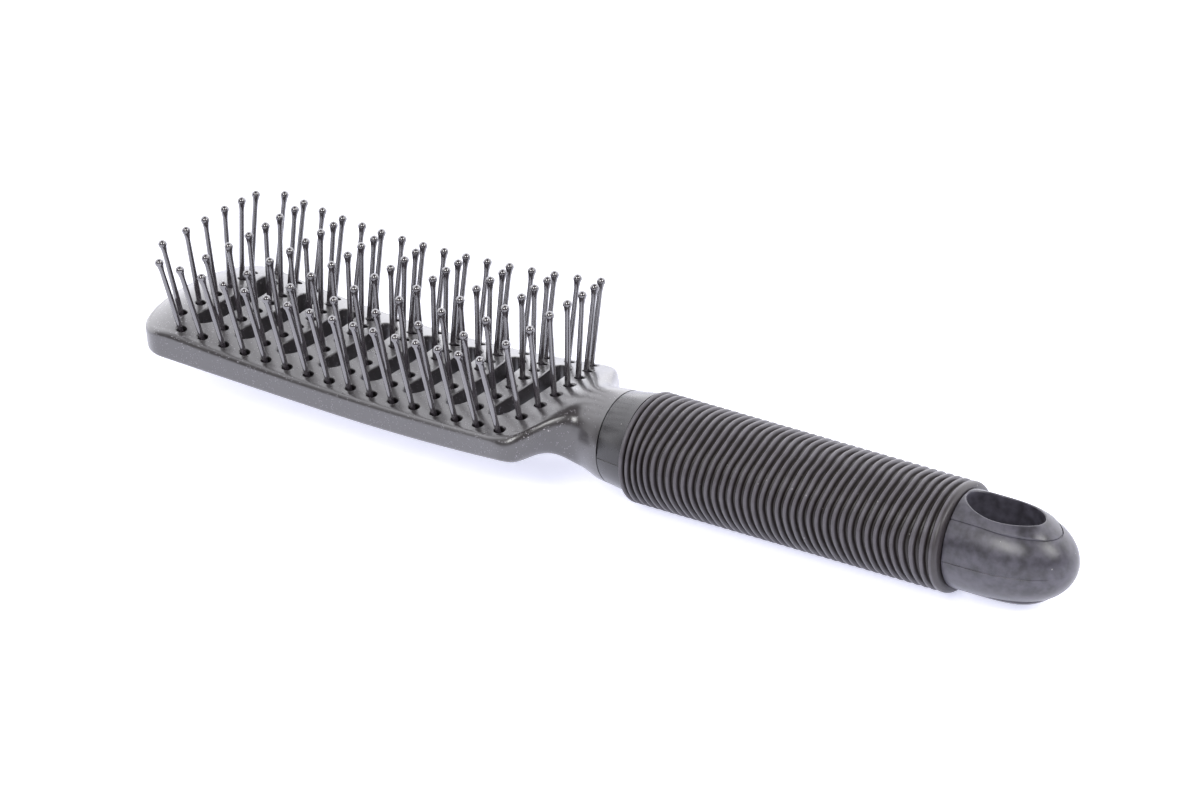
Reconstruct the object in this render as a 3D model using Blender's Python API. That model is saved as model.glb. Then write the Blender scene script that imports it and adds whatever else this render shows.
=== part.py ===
"""Vent brush: slotted head with ball-tipped pins, waisted neck, ribbed grip and hanging end.

The long axis is X, with the pins pointing up. Inside this script, x runs from the first outer pin towards
the hanging end and z is measured from the handle's axis. The empty brush_frame then moves the origin to the
middle of the brush's length, on the surface that it lies on.
"""

import math

import bmesh
import bpy
from mathutils import Vector

MM = 0.001

# General clearances
SEAT_GAP = 0.3 * MM
CUT_OVERRUN = 1.5 * MM
MERGE_DISTANCE = 0.001 * MM

# Pin field
PIN_PITCH = 5.75 * MM
ROW_PITCH = 4.3 * MM
OUTER_PINS = 16
ROWS_PER_SIDE = 4
COLUMN_ARCH_RADIUS = 29.0 * MM
FIELD_WAIST_SHARE = 0.08

# Pins
PIN_LENGTH = 18.4 * MM
PIN_BASE_RADIUS = 0.58 * MM
PIN_TOP_RADIUS = 0.47 * MM
PIN_BALL_RADIUS = 0.8 * MM
PIN_BALL_NECK = 2.2 * MM
PIN_SIDES = 6
PIN_TURN_SHARE = 0.5
PIN_ROOT = 1.2 * MM

# Head shell
PLATE_RISE = 5.8 * MM
PLATE_ROCK = 2.25 * MM
PLATE_CROWN_RADIUS = 60.5 * MM
PLATE_SKIN = 1.5 * MM
HEAD_TILT_SHARE = 0.033
HEAD_DEPTH = 8.2 * MM
BACK_ROCK = 1.0 * MM
NOSE_LENGTH = 13.3 * MM
NOSE_DROP = 3.8 * MM
NOSE_ROUND_LENGTH = 9.2 * MM
NOSE_SQUARE_EXPONENT = 0.62
EDGE_MARGIN = 2.95 * MM
LIP_BEVEL = 0.8 * MM
LIP_DROP = 0.7 * MM
SKIRT_ROUND = 1.0 * MM
PIN_HOLE_HALF_WIDTH = 1.0 * MM
PIN_HOLE_HALF_LENGTH = 1.3 * MM
PIN_HOLE_SIDES = 5
PIN_HOLE_OVERRUN = 0.8 * MM

# Vents
VENT_WIDTH = 4.8 * MM
VENT_HALF_LENGTH = 11.9 * MM

# Shoulder, neck and tang
SHOULDER_MARGIN = 3.75 * MM
SHOULDER_LENGTH = 9.5 * MM
NECK_HALF_WIDTH = 8.8 * MM
NECK_TOP_HEIGHT = 9.8 * MM
NECK_UNDER_HEIGHT = 9.2 * MM
UNDER_START_MARGIN = 0.5 * MM
UNDER_END_MARGIN = 2.3 * MM
SHOULDER_LIFT = 2.0 * MM
NECK_LENGTH = 6.3 * MM
TANG_LENGTH = 24.0 * MM
TANG_HALF_WIDTH = 5.6 * MM
TANG_HALF_HEIGHT = 4.2 * MM
TANG_TAPER = 0.6 * MM

# Pin strips and rails
STRIP_WIDTH = 3.7 * MM
STRIP_DEPTH = 1.5 * MM
STRIP_END_MARGIN = 1.3 * MM
RAIL_WIDTH = 2.2 * MM
RAIL_DEPTH = 1.5 * MM

# Back cover and the hollow behind the plate
COVER_THICKNESS = 1.0 * MM
COVER_INSET = 1.5 * MM
COVER_END_MARGIN = 2.9 * MM
COVER_RIB_WIDTH = 1.0 * MM
COVER_CLEARANCE = 1.4 * MM
NOSE_POCKET_WALL = 1.0 * MM

# Handle body
SEAM_HALF_WIDTH = 10.2 * MM
SEAM_HALF_HEIGHT = 9.8 * MM
COLLAR_LENGTH = 6.8 * MM
COLLAR_HALF_WIDTH = 11.0 * MM
COLLAR_HALF_HEIGHT = 10.7 * MM
COLLAR_RISE = 0.5 * MM
CORE_HALF_WIDTH = 9.2 * MM
CORE_HALF_HEIGHT = 8.5 * MM
AXIS_DROP = 0.85 * MM
HANDLE_SIDES = 16
END_HALF_WIDTH = 9.9 * MM
END_HALF_HEIGHT = 9.6 * MM
END_STRAIGHT_LENGTH = 1.0 * MM
HANDLE_NOSE_LENGTH = 22.1 * MM
HANDLE_NOSE_EXPONENT = 3.2
HANDLE_NOSE_STEPS = 8
HANDLE_EDGE_ROUND = 0.5 * MM

# Hanging eye
EYE_START_MARGIN = 0.3 * MM
EYE_HALF_LENGTH = 8.0 * MM
EYE_HALF_WIDTH = 4.5 * MM
EYE_SIDES = 24
EYE_LAND_WIDTH_MARGIN = 1.85 * MM
EYE_LAND_LENGTH_MARGIN = 3.5 * MM
EYE_LAND_HALF_WIDTH = 9.2 * MM
EYE_LAND_HALF_HEIGHT = 10.05 * MM
EYE_LAND_NOSE_LENGTH = 20.2 * MM
EYE_LAND_NOSE_EXPONENT = 4.6

# Grip sleeve
SLEEVE_LIP = 1.0 * MM
RIB_PITCH = 1.81 * MM
RIB_COUNT = 39
RIB_HEIGHT = 0.8 * MM
RIB_CREST_SHARE = 0.5
SLEEVE_HALF_WIDTH = 12.3 * MM
SLEEVE_HALF_HEIGHT = 11.5 * MM
CUFF_LENGTH = 1.3 * MM

# Places that follow from the sizes above
FIELD_HALF_SPAN = PIN_PITCH * (OUTER_PINS - 2) / 2
FIELD_MIDDLE = FIELD_HALF_SPAN
OUTER_ROW_Y = ROW_PITCH * (ROWS_PER_SIDE - 0.5)
LAST_PIN_X = PIN_PITCH * (OUTER_PINS - 1)
TIP_X = -NOSE_LENGTH
STRIP_COLUMNS = [2 * step - 1 for step in range(OUTER_PINS // 2 + 1)]
VENT_COLUMNS = [2 * step for step in range(OUTER_PINS // 2)]
SHOULDER_START = LAST_PIN_X + SHOULDER_MARGIN
SHOULDER_END = SHOULDER_START + SHOULDER_LENGTH
SEAM_X = SHOULDER_END + NECK_LENGTH
SLEEVE_FRONT_X = SEAM_X + COLLAR_LENGTH
CUFF_START_X = SLEEVE_FRONT_X + SLEEVE_LIP + RIB_PITCH * (RIB_COUNT - 1 + RIB_CREST_SHARE)
SLEEVE_END_X = CUFF_START_X + CUFF_LENGTH
END_START_X = SLEEVE_END_X + SEAT_GAP
NOSE_START_X = END_START_X + END_STRAIGHT_LENGTH
HANDLE_END_X = NOSE_START_X + HANDLE_NOSE_LENGTH
EYE_CENTRE_X = END_START_X + EYE_START_MARGIN + EYE_HALF_LENGTH
HOLE_SHIFT = PIN_HOLE_HALF_LENGTH - PIN_BASE_RADIUS - SEAT_GAP
BRUSH_MIDDLE_X = (TIP_X + HANDLE_END_X) / 2
FLOOR_Z = -SLEEVE_HALF_HEIGHT


# The surfaces that the head's pieces share

def smooth_step(value):
    """An S-shaped ramp from 0 to 1."""
    value = min(max(value, 0.0), 1.0)
    return value * value * (3 - 2 * value)


def field_share(x):
    """Place along the pin field: -1 and 1 near its ends, 0 in the middle."""
    return (x - FIELD_MIDDLE) / FIELD_HALF_SPAN


def plate_z(x, y):
    """Height of the plate's top: rocked lengthwise, crowned across, rolled down at the nose."""
    rock = PLATE_ROCK * field_share(x) ** 2
    roll = NOSE_DROP * (max(-x, 0.0) / NOSE_LENGTH) ** 2
    crown = y * y / (2 * PLATE_CROWN_RADIUS)
    tilt = HEAD_TILT_SHARE * (x - FIELD_MIDDLE)
    return PLATE_RISE + rock - roll - crown - tilt


def back_z(x):
    """Height of the head's underside, which lifts less towards the tip than towards the neck."""
    share = field_share(x)
    lift = (BACK_ROCK if share < 0 else PLATE_ROCK) * share ** 2
    return PLATE_RISE - HEAD_DEPTH + lift - HEAD_TILT_SHARE * (x - FIELD_MIDDLE)


def column_arch(y):
    """How far an arched column lies towards the handle at y, from its outer pins."""
    reach = math.sqrt(COLUMN_ARCH_RADIUS ** 2 - y * y)
    return reach - math.sqrt(COLUMN_ARCH_RADIUS ** 2 - OUTER_ROW_Y ** 2)


def spread(x):
    """The pin field is a little wider at both ends than in the middle."""
    return 1 + FIELD_WAIST_SHARE * field_share(x) ** 2


def column_point(column, y):
    """A point on an arched column, given its place across before the field is spread."""
    x = column * PIN_PITCH
    return x + column_arch(y), y * spread(x)


def side_y(x):
    """Half width of the head's straight side."""
    return OUTER_ROW_Y * spread(x) + EDGE_MARGIN


# Mesh helpers

def material(name, colour, roughness, metallic=0.0):
    """A Principled material, made once for each name."""
    made = bpy.data.materials.get(name)
    if made is None:
        made = bpy.data.materials.new(name)
        made.use_nodes = True
        shader = made.node_tree.nodes["Principled BSDF"]
        shader.inputs["Base Color"].default_value = (*colour, 1.0)
        shader.inputs["Roughness"].default_value = roughness
        shader.inputs["Metallic"].default_value = metallic
    return made


def add_object(name, mesh, surface=None):
    """Link a mesh to the scene as an object of the brush."""
    made = bpy.data.objects.new(name, mesh)
    bpy.context.collection.objects.link(made)
    made.parent = bpy.data.objects["brush_frame"]
    if surface is not None:
        mesh.materials.append(surface)
    return made


def close_mesh(name, bm):
    """Weld, turn every face outwards and hand over the mesh."""
    bmesh.ops.remove_doubles(bm, verts=bm.verts, dist=MERGE_DISTANCE)
    bmesh.ops.recalc_face_normals(bm, faces=bm.faces)
    mesh = bpy.data.meshes.new(name)
    bm.to_mesh(mesh)
    bm.free()
    return mesh


def add_loft(bm, rings, close_ends=True):
    """Skin a list of rings that have the same number of points, and cap both ends."""
    loops = [[bm.verts.new(point) for point in ring] for ring in rings]
    count = len(loops[0])
    for near, far in zip(loops, loops[1:]):
        for index in range(count):
            after = (index + 1) % count
            bm.faces.new((near[index], near[after], far[after], far[index]))
    if close_ends:
        bm.faces.new(loops[0])
        bm.faces.new(loops[-1])


def loft_mesh(name, rings):
    """One closed loft as a mesh."""
    bm = bmesh.new()
    add_loft(bm, rings)
    return close_mesh(name, bm)


def bar_rings(stations):
    """Four-cornered rings of a bar that runs across or along the head.

    Each station gives the centre, the half width along its own direction, and the heights of the corners.
    """
    rings = []
    for centre, offset, low, high in stations:
        left = (centre[0] - offset[0], centre[1] - offset[1])
        right = (centre[0] + offset[0], centre[1] + offset[1])
        rings.append([
            (*left, low(*left)), (*right, low(*right)),
            (*right, high(*right)), (*left, high(*left)),
        ])
    return rings


def boolean(target, cutter, operation):
    """Keep a Boolean modifier on the target and hide what it uses."""
    cutter.hide_render = True
    cutter.display_type = "WIRE"
    modifier = target.modifiers.new(cutter.name, "BOOLEAN")
    modifier.operation = operation
    modifier.object = cutter
    modifier.solver = "EXACT"


def smooth(mesh):
    """Shade round pieces smooth, with their edges kept."""
    mesh.shade_smooth()
    mesh.set_sharp_from_angle(angle=math.radians(35))


# Head outline and its rings

def nose_outline_point(angle):
    """A point of the squared-off nose and its outward direction in plan."""
    blend = math.sin(angle)
    x = TIP_X + NOSE_ROUND_LENGTH * (1 - math.cos(angle))
    y = side_y(x) * blend ** NOSE_SQUARE_EXPONENT
    slope_share = 2 / NOSE_SQUARE_EXPONENT - 1
    across = (y / side_y(x)) ** slope_share / NOSE_SQUARE_EXPONENT
    along = math.cos(angle) * side_y(x) / NOSE_ROUND_LENGTH
    direction = Vector((-along, across)).normalized()
    return (x, y), direction


def neck_half_width(x):
    """Half width from the head's side through the shoulder and the neck to the collar."""
    shoulder = smooth_step((x - SHOULDER_START) / (SHOULDER_END - SHOULDER_START))
    flare = smooth_step((x - SHOULDER_END) / (SEAM_X - SHOULDER_END))
    head = side_y(min(x, SHOULDER_START))
    return head + (NECK_HALF_WIDTH - head) * shoulder + (SEAM_HALF_WIDTH - NECK_HALF_WIDTH) * flare


def shoulder_lift(x):
    """How much the underside arches up between the head's corner and the neck."""
    share = min(max((x - SHOULDER_START) / (SHOULDER_END - SHOULDER_START), 0.0), 1.0)
    return SHOULDER_LIFT * (4 * share * (1 - share)) ** 2


def outline_stations():
    """Stations from the tip to the neck's end: plan point and outward direction."""
    stations = []
    nose_steps = 6
    for step in range(nose_steps):
        stations.append(nose_outline_point(math.pi / 2 * step / nose_steps))
    start = TIP_X + NOSE_ROUND_LENGTH
    side_steps = 8
    for step in range(side_steps):
        x = start + (SHOULDER_START - start) * step / side_steps
        stations.append(((x, side_y(x)), Vector((0.0, 1.0))))
    shoulder_steps = 7
    for step in range(shoulder_steps):
        x = SHOULDER_START + (SHOULDER_END - SHOULDER_START) * step / shoulder_steps
        stations.append(((x, neck_half_width(x)), Vector((0.0, 1.0))))
    flare_steps = 4
    for step in range(flare_steps + 1):
        x = SHOULDER_END + (SEAM_X - SHOULDER_END) * step / flare_steps
        stations.append(((x, neck_half_width(x)), Vector((0.0, 1.0))))
    return stations


TOP_SHARES = [0.0, 0.35, 0.7, 1.0]
BACK_SHARES = [0.67, 0.33, 0.0]
UNDER_SHARES = [0.0] * (len(TOP_SHARES) + 1) + [0.5] + [1.0] * (len(BACK_SHARES) + 3)


def head_half_ring(point, direction):
    """Half a section of the head, from the crown's middle over the lip and skirt to the back's middle."""
    lip = (point[0] - direction[0] * LIP_BEVEL, max(point[1] - direction[1] * LIP_BEVEL, 0.0))
    edge_z = plate_z(*lip)
    foot = (point[0] - direction[0] * SKIRT_ROUND, max(point[1] - direction[1] * SKIRT_ROUND, 0.0))
    under = back_z(point[0])
    half = [Vector((lip[0], lip[1] * share, plate_z(lip[0], lip[1] * share))) for share in TOP_SHARES]
    skirt_top = edge_z - LIP_DROP
    skirt_low = under + SKIRT_ROUND
    half.append(Vector((*point, skirt_top)))
    half.append(Vector((*point, (skirt_top + skirt_low) / 2)))
    half.append(Vector((*point, skirt_low)))
    corner = ((point[0] + foot[0]) / 2, (point[1] + foot[1]) / 2)
    half.append(Vector((*corner, under + SKIRT_ROUND * (1 - math.sqrt(3) / 2))))
    half.append(Vector((*foot, under)))
    half.extend(Vector((foot[0], foot[1] * share, under)) for share in BACK_SHARES)
    return half


def neck_half_ring(x, half_width, top_height, under_height):
    """Half an oval round the collar's centre, with as many points as half a head section."""
    count = len(UNDER_SHARES) - 1
    half = []
    for step in range(count + 1):
        angle = math.pi / 2 - math.pi * step / count
        height = top_height if angle > 0 else under_height
        half.append(Vector((x, half_width * math.cos(angle), COLLAR_RISE + height * math.sin(angle))))
    return half


def whole_ring(half):
    """Mirror a half section across the brush's middle plane."""
    mirrored = [Vector((point[0], -point[1], point[2])) for point in reversed(half[1:-1])]
    return half + mirrored


def head_rings():
    """Sections from the tip through the shoulder and neck to the end of the tang."""
    rings = []
    for point, direction in outline_stations():
        half = head_half_ring(point, direction)
        blend = smooth_step((point[0] - SHOULDER_START) / (SEAM_X - SHOULDER_START))
        if blend > 0.0:
            flare = smooth_step((point[0] - SHOULDER_END) / (SEAM_X - SHOULDER_END))
            top_height = NECK_TOP_HEIGHT + (SEAM_HALF_HEIGHT - NECK_TOP_HEIGHT) * flare
            under_height = NECK_UNDER_HEIGHT + (SEAM_HALF_HEIGHT - NECK_UNDER_HEIGHT) * flare
            round_half = neck_half_ring(*point, top_height, under_height)
            under_start = SHOULDER_START + UNDER_START_MARGIN
            under_end = SEAM_X - UNDER_END_MARGIN
            under_blend = smooth_step((point[0] - under_start) / (under_end - under_start))
            lift = Vector((0.0, 0.0, shoulder_lift(point[0])))
            half = [
                flat.lerp(curved, blend + (under_blend - blend) * share) + lift * share
                for flat, curved, share in zip(half, round_half, UNDER_SHARES)
            ]
        rings.append(whole_ring(half))
    for reach, taper in ((0.0, 0.0), (TANG_LENGTH, TANG_TAPER)):
        height = TANG_HALF_HEIGHT - taper
        half = neck_half_ring(SEAM_X + reach, TANG_HALF_WIDTH - taper, height, height)
        rings.append(whole_ring(half))
    return rings


# Places of the pins

def strip_pins(column):
    """The six pins of the strip under one bar."""
    places = []
    for row in range(ROWS_PER_SIDE - 1):
        for side in (-1, 1):
            places.append(column_point(column, side * ROW_PITCH * (row + 0.5)))
    return places


def rail_pins(side):
    """The sixteen pins of one outer row."""
    return [column_point(column, side * OUTER_ROW_Y) for column in range(OUTER_PINS)]


def pin_direction(y):
    """Pins stand square to the crown and lean only outwards."""
    return Vector((HEAD_TILT_SHARE, y / PLATE_CROWN_RADIUS, 1.0)).normalized()


def round_ring(centre, direction, radius, sides, turn_share=0.0):
    """A ring of points round a pin's axis, turned by a share of one side."""
    across = Vector((1.0, 0.0, 0.0))
    other = direction.cross(across).normalized()
    ring = []
    for step in range(sides):
        angle = 2 * math.pi * (step + turn_share) / sides
        ring.append(centre + (across * math.cos(angle) + other * math.sin(angle)) * radius)
    return ring


def add_pin(bm, x, y):
    """One pin: tapered shaft, short cone and ball."""
    foot = Vector((x, y, plate_z(x, y)))
    direction = pin_direction(y)
    root = -(PLATE_SKIN + SEAT_GAP + PIN_ROOT)
    ball = [
        (PIN_LENGTH, PIN_BALL_RADIUS),
        (PIN_LENGTH + PIN_BALL_RADIUS * math.sin(math.radians(50)),
         PIN_BALL_RADIUS * math.cos(math.radians(50))),
    ]
    profile = [(root, PIN_BASE_RADIUS), (PIN_LENGTH - PIN_BALL_NECK, PIN_TOP_RADIUS)] + ball
    rings = [
        round_ring(foot + direction * along, direction, radius, PIN_SIDES, PIN_TURN_SHARE)
        for along, radius in profile
    ]
    top = foot + direction * (PIN_LENGTH + PIN_BALL_RADIUS)
    rings.append([top] * PIN_SIDES)
    add_loft(bm, rings[:-1], close_ends=False)
    add_pin_ends(bm, rings)


def add_pin_ends(bm, rings):
    """Close a pin's root with one face and its ball with a fan."""
    bm.faces.new([bm.verts.new(point) for point in rings[0]])
    last = [bm.verts.new(point) for point in rings[-2]]
    pole = bm.verts.new(rings[-1][0])
    for index in range(PIN_SIDES):
        bm.faces.new((last[index], last[(index + 1) % PIN_SIDES], pole))


def pins_object(name, places):
    """The loose pins of one strip, as an object for a union."""
    bm = bmesh.new()
    for x, y in places:
        add_pin(bm, x, y)
    return add_object(name, close_mesh(name, bm))


# Bars across and along the head

def cross_stations(column, half_length, half_width, low, high, steps=6):
    """Stations of an arched bar under one column."""
    stations = []
    for step in range(steps + 1):
        y = half_length * (2 * step / steps - 1)
        stations.append((column_point(column, y), (half_width, 0.0), low, high))
    return stations


def rail_stations(side, start, end, half_width, low, high, steps=8):
    """Stations of a lengthwise bar under one outer row."""
    stations = []
    for step in range(steps + 1):
        x = start + (end - start) * step / steps
        stations.append(((x, side * (OUTER_ROW_Y * spread(x) - RAIL_INSET)), (0.0, half_width), low, high))
    return stations


def vent_stations(column, low, high):
    """Stations of a vent: an arched slot with round ends."""
    radius = VENT_WIDTH / 2
    straight = VENT_HALF_LENGTH - radius
    end_angles = [math.radians(angle) for angle in (90, 55, 25, 0)]
    places = [(-straight - radius * math.sin(angle), radius * math.cos(angle)) for angle in end_angles]
    inner_steps = 4
    for step in range(1, inner_steps):
        places.append((straight * (2 * step / inner_steps - 1), radius))
    places.extend((-y, half) for y, half in reversed(places[:len(end_angles)]))
    return [(column_point(column, y), (half, 0.0), low, high) for y, half in places]


def strip_top(x, y):
    return plate_z(x, y) - PLATE_SKIN - SEAT_GAP


def strip_bottom(x, y):
    return strip_top(x, y) - STRIP_DEPTH


def rail_bottom(x, y):
    return strip_top(x, y) - RAIL_DEPTH


def channel_top(x, y):
    return plate_z(x, y) - PLATE_SKIN


def below_head(x, y):
    return back_z(x) - CUT_OVERRUN


def above_head(x, y):
    return plate_z(x, y) + CUT_OVERRUN


def recess_top(x, y):
    return back_z(x) + COVER_THICKNESS + COVER_CLEARANCE


def cover_top(x, y):
    return back_z(x) + COVER_THICKNESS


def cover_middle(x, y):
    return back_z(x) + COVER_THICKNESS / 2


def strip_rib_top(x, y):
    return strip_bottom(x, y) - SEAT_GAP


def rail_rib_top(x, y):
    return rail_bottom(x, y) - SEAT_GAP


STRIP_HALF_LENGTH = ROW_PITCH * (ROWS_PER_SIDE - 1.5) + STRIP_END_MARGIN
RAIL_START = -STRIP_END_MARGIN
RAIL_END = LAST_PIN_X + STRIP_END_MARGIN
RAIL_INSET = OUTER_ROW_Y / PLATE_CROWN_RADIUS * (PLATE_SKIN + SEAT_GAP + PIN_ROOT / 2)


# The back cover's outline

def closing_outline(inset, end_x):
    """Plan points inside the head's outline, from the tip to an arched end that its middle plane crosses."""
    stations = []
    for point, direction in outline_stations():
        x = point[0] - direction[0] * inset
        y = max(point[1] - direction[1] * inset, 0.0)
        if x < end_x + column_arch(min(y, OUTER_ROW_Y)):
            stations.append((x, y))
    last_y = stations[-1][1]
    end_steps = 6
    for step in range(end_steps):
        y = last_y * (1 - step / end_steps)
        x = end_x + column_arch(min(y, OUTER_ROW_Y))
        if x > stations[-1][0]:
            stations.append((x, y))
    stations.append((end_x + column_arch(0.0), 0.0))
    return stations


def cover_rings(inset, low, high):
    """Cross sections of the plate that closes the head: nose, sides and an arched end."""
    end_x = LAST_PIN_X + COVER_END_MARGIN + (COVER_INSET - inset)
    return [[
        (x, -y, low(x, y)), (x, y, low(x, y)), (x, y, high(x, y)), (x, -y, high(x, y)),
    ] for x, y in closing_outline(inset, end_x)]


def nose_pocket_rings():
    """Cross sections of the hollow between the nose and the first strip's channel."""
    end_x = -PIN_PITCH - STRIP_WIDTH / 2 - SEAT_GAP - NOSE_POCKET_WALL
    return [[
        (x, -y, below_head(x, y)), (x, y, below_head(x, y)),
        (x, y, channel_top(x, y)), (x, 0.0, channel_top(x, 0.0)), (x, -y, channel_top(x, y)),
    ] for x, y in closing_outline(COVER_INSET + NOSE_POCKET_WALL, end_x)]


def add_cross_bars(bm, half_width, clearance, low, high):
    """One bar under every cross strip, wider and longer than given by a clearance."""
    length = STRIP_HALF_LENGTH + clearance
    for column in STRIP_COLUMNS:
        add_loft(bm, bar_rings(cross_stations(column, length, half_width + clearance, low, high)))


def add_rail_bars(bm, half_width, clearance, low, high):
    """One bar under every rail, wider and longer than given by a clearance."""
    start = RAIL_START - clearance
    end = RAIL_END + clearance
    for side in (-1, 1):
        add_loft(bm, bar_rings(rail_stations(side, start, end, half_width + clearance, low, high)))


def vent_cutter(name):
    """The eight vents, as one cutter."""
    bm = bmesh.new()
    for column in VENT_COLUMNS:
        add_loft(bm, bar_rings(vent_stations(column, below_head, above_head)))
    return add_object(name, close_mesh(name, bm))


def pin_hole_cutter(name):
    """A long hole for every pin, which stands at the hole's tip side."""
    bm = bmesh.new()
    places = [place for column in STRIP_COLUMNS for place in strip_pins(column)]
    places += rail_pins(-1) + rail_pins(1)
    flat_radius = PIN_HOLE_HALF_WIDTH / math.cos(math.pi / PIN_HOLE_SIDES)
    stretch = PIN_HOLE_HALF_LENGTH / PIN_HOLE_HALF_WIDTH
    for x, y in places:
        foot = Vector((x + HOLE_SHIFT, y, plate_z(x, y)))
        direction = pin_direction(y)
        low = foot - direction * (PLATE_SKIN + PIN_HOLE_OVERRUN)
        high = foot + direction * PIN_HOLE_OVERRUN
        rings = []
        for end in (low, high):
            ring = round_ring(end, direction, flat_radius, PIN_HOLE_SIDES)
            rings.append([Vector((end.x + (point.x - end.x) * stretch, point.y, point.z)) for point in ring])
        add_loft(bm, rings)
    return add_object(name, close_mesh(name, bm))


# The pieces

def make_head_shell():
    """Plate, skirt, shoulder, neck and tang in one moulding, with channels for the strips from behind."""
    charcoal = material("sparkle_charcoal", (0.085, 0.083, 0.088), 0.34, 0.15)
    mesh = loft_mesh("head_shell", head_rings())
    smooth(mesh)
    shell = add_object("head_shell", mesh, charcoal)
    recess_mesh = loft_mesh("cover_recess", cover_rings(COVER_INSET, below_head, recess_top))
    bm = bmesh.new()
    add_cross_bars(bm, STRIP_WIDTH / 2, SEAT_GAP, below_head, channel_top)
    add_rail_bars(bm, RAIL_WIDTH / 2, SEAT_GAP, below_head, channel_top)
    channels = add_object("strip_channels", close_mesh("strip_channels", bm))
    boolean(shell, add_object("cover_recess", recess_mesh), "DIFFERENCE")
    pocket_mesh = loft_mesh("nose_pocket", nose_pocket_rings())
    boolean(shell, add_object("nose_pocket", pocket_mesh), "DIFFERENCE")
    boolean(shell, channels, "DIFFERENCE")
    boolean(shell, vent_cutter("shell_vents"), "DIFFERENCE")
    boolean(shell, pin_hole_cutter("pin_holes"), "DIFFERENCE")


def make_back_cover():
    """Vented plate with ribs that press the strips up against the head's plate."""
    charcoal = material("cover_charcoal", (0.075, 0.073, 0.078), 0.4, 0.1)
    inset = COVER_INSET + SEAT_GAP
    mesh = loft_mesh("back_cover", cover_rings(inset, lambda x, y: back_z(x), cover_top))
    cover = add_object("back_cover", mesh, charcoal)
    bm = bmesh.new()
    add_cross_bars(bm, COVER_RIB_WIDTH / 2, 0.0, cover_middle, strip_rib_top)
    add_rail_bars(bm, COVER_RIB_WIDTH / 2, 0.0, cover_middle, rail_rib_top)
    ribs = add_object("cover_ribs", close_mesh("cover_ribs", bm))
    boolean(cover, ribs, "UNION")
    boolean(cover, vent_cutter("cover_vents"), "DIFFERENCE")


def make_pin_strips():
    """Nine arched strips of six pins, one under each bar between the vents."""
    nylon = material("pin_nylon", (0.045, 0.043, 0.046), 0.28)
    for number, column in enumerate(STRIP_COLUMNS, start=1):
        name = f"pin_strip_{number}"
        stations = cross_stations(column, STRIP_HALF_LENGTH, STRIP_WIDTH / 2, strip_bottom, strip_top)
        strip = add_object(name, loft_mesh(name, bar_rings(stations)), nylon)
        boolean(strip, pins_object(f"{name}_pins", strip_pins(column)), "UNION")


def make_pin_rails():
    """Two lengthwise strips of sixteen pins, for the outer rows."""
    nylon = material("pin_nylon", (0.045, 0.043, 0.046), 0.28)
    for side, place in ((-1, "front"), (1, "rear")):
        name = f"pin_rail_{place}"
        stations = rail_stations(side, RAIL_START, RAIL_END, RAIL_WIDTH / 2, rail_bottom, strip_top)
        rail = add_object(name, loft_mesh(name, bar_rings(stations)), nylon)
        boolean(rail, pins_object(f"{name}_pins", rail_pins(side)), "UNION")


def axis_z(x):
    """Height of the handle's axis, which drops evenly from the sleeve's front to the hanging end."""
    return -AXIS_DROP * max(x - SLEEVE_FRONT_X, 0.0) / (HANDLE_END_X - SLEEVE_FRONT_X)


def oval_ring(x, half_width, half_height, centre_z):
    """An oval handle section whose lowest and highest facets are flat."""
    half_step = math.pi / HANDLE_SIDES
    reach = 1 / math.cos(half_step)
    ring = []
    for step in range(HANDLE_SIDES):
        angle = 2 * math.pi * step / HANDLE_SIDES + half_step - math.pi / 2
        rise = half_height * reach * math.sin(angle)
        ring.append((x, half_width * reach * math.cos(angle), centre_z + rise))
    return ring


def hanging_end_rings(half_width, half_height, nose_length, exponent):
    """Sections of a form that runs from the cuff to a rounded nose."""
    rings = [oval_ring(END_START_X, half_width, half_height, axis_z(END_START_X))]
    for step in range(HANDLE_NOSE_STEPS + 1):
        reach = math.sin(math.pi / 2 * step / HANDLE_NOSE_STEPS)
        x = NOSE_START_X + nose_length * reach
        share = math.sqrt(1 - reach ** exponent)
        rings.append(oval_ring(x, half_width * share, half_height * share, axis_z(x)))
    return rings


def handle_rings():
    """Sections of the handle body: collar, recessed core and hanging end."""
    front = SEAM_X + SEAT_GAP
    front_half_width = SEAM_HALF_WIDTH - HANDLE_EDGE_ROUND
    front_half_height = SEAM_HALF_HEIGHT - HANDLE_EDGE_ROUND
    collar_end = SLEEVE_FRONT_X - SEAT_GAP
    rings = [
        oval_ring(front, front_half_width, front_half_height, COLLAR_RISE),
        oval_ring(front + HANDLE_EDGE_ROUND, SEAM_HALF_WIDTH, SEAM_HALF_HEIGHT, COLLAR_RISE),
        oval_ring(collar_end, COLLAR_HALF_WIDTH, COLLAR_HALF_HEIGHT, COLLAR_RISE),
        oval_ring(collar_end, CORE_HALF_WIDTH, CORE_HALF_HEIGHT, axis_z(collar_end)),
        oval_ring(END_START_X, CORE_HALF_WIDTH, CORE_HALF_HEIGHT, axis_z(END_START_X)),
    ]
    nose = hanging_end_rings(END_HALF_WIDTH, END_HALF_HEIGHT, HANDLE_NOSE_LENGTH, HANDLE_NOSE_EXPONENT)
    return rings + nose


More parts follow.
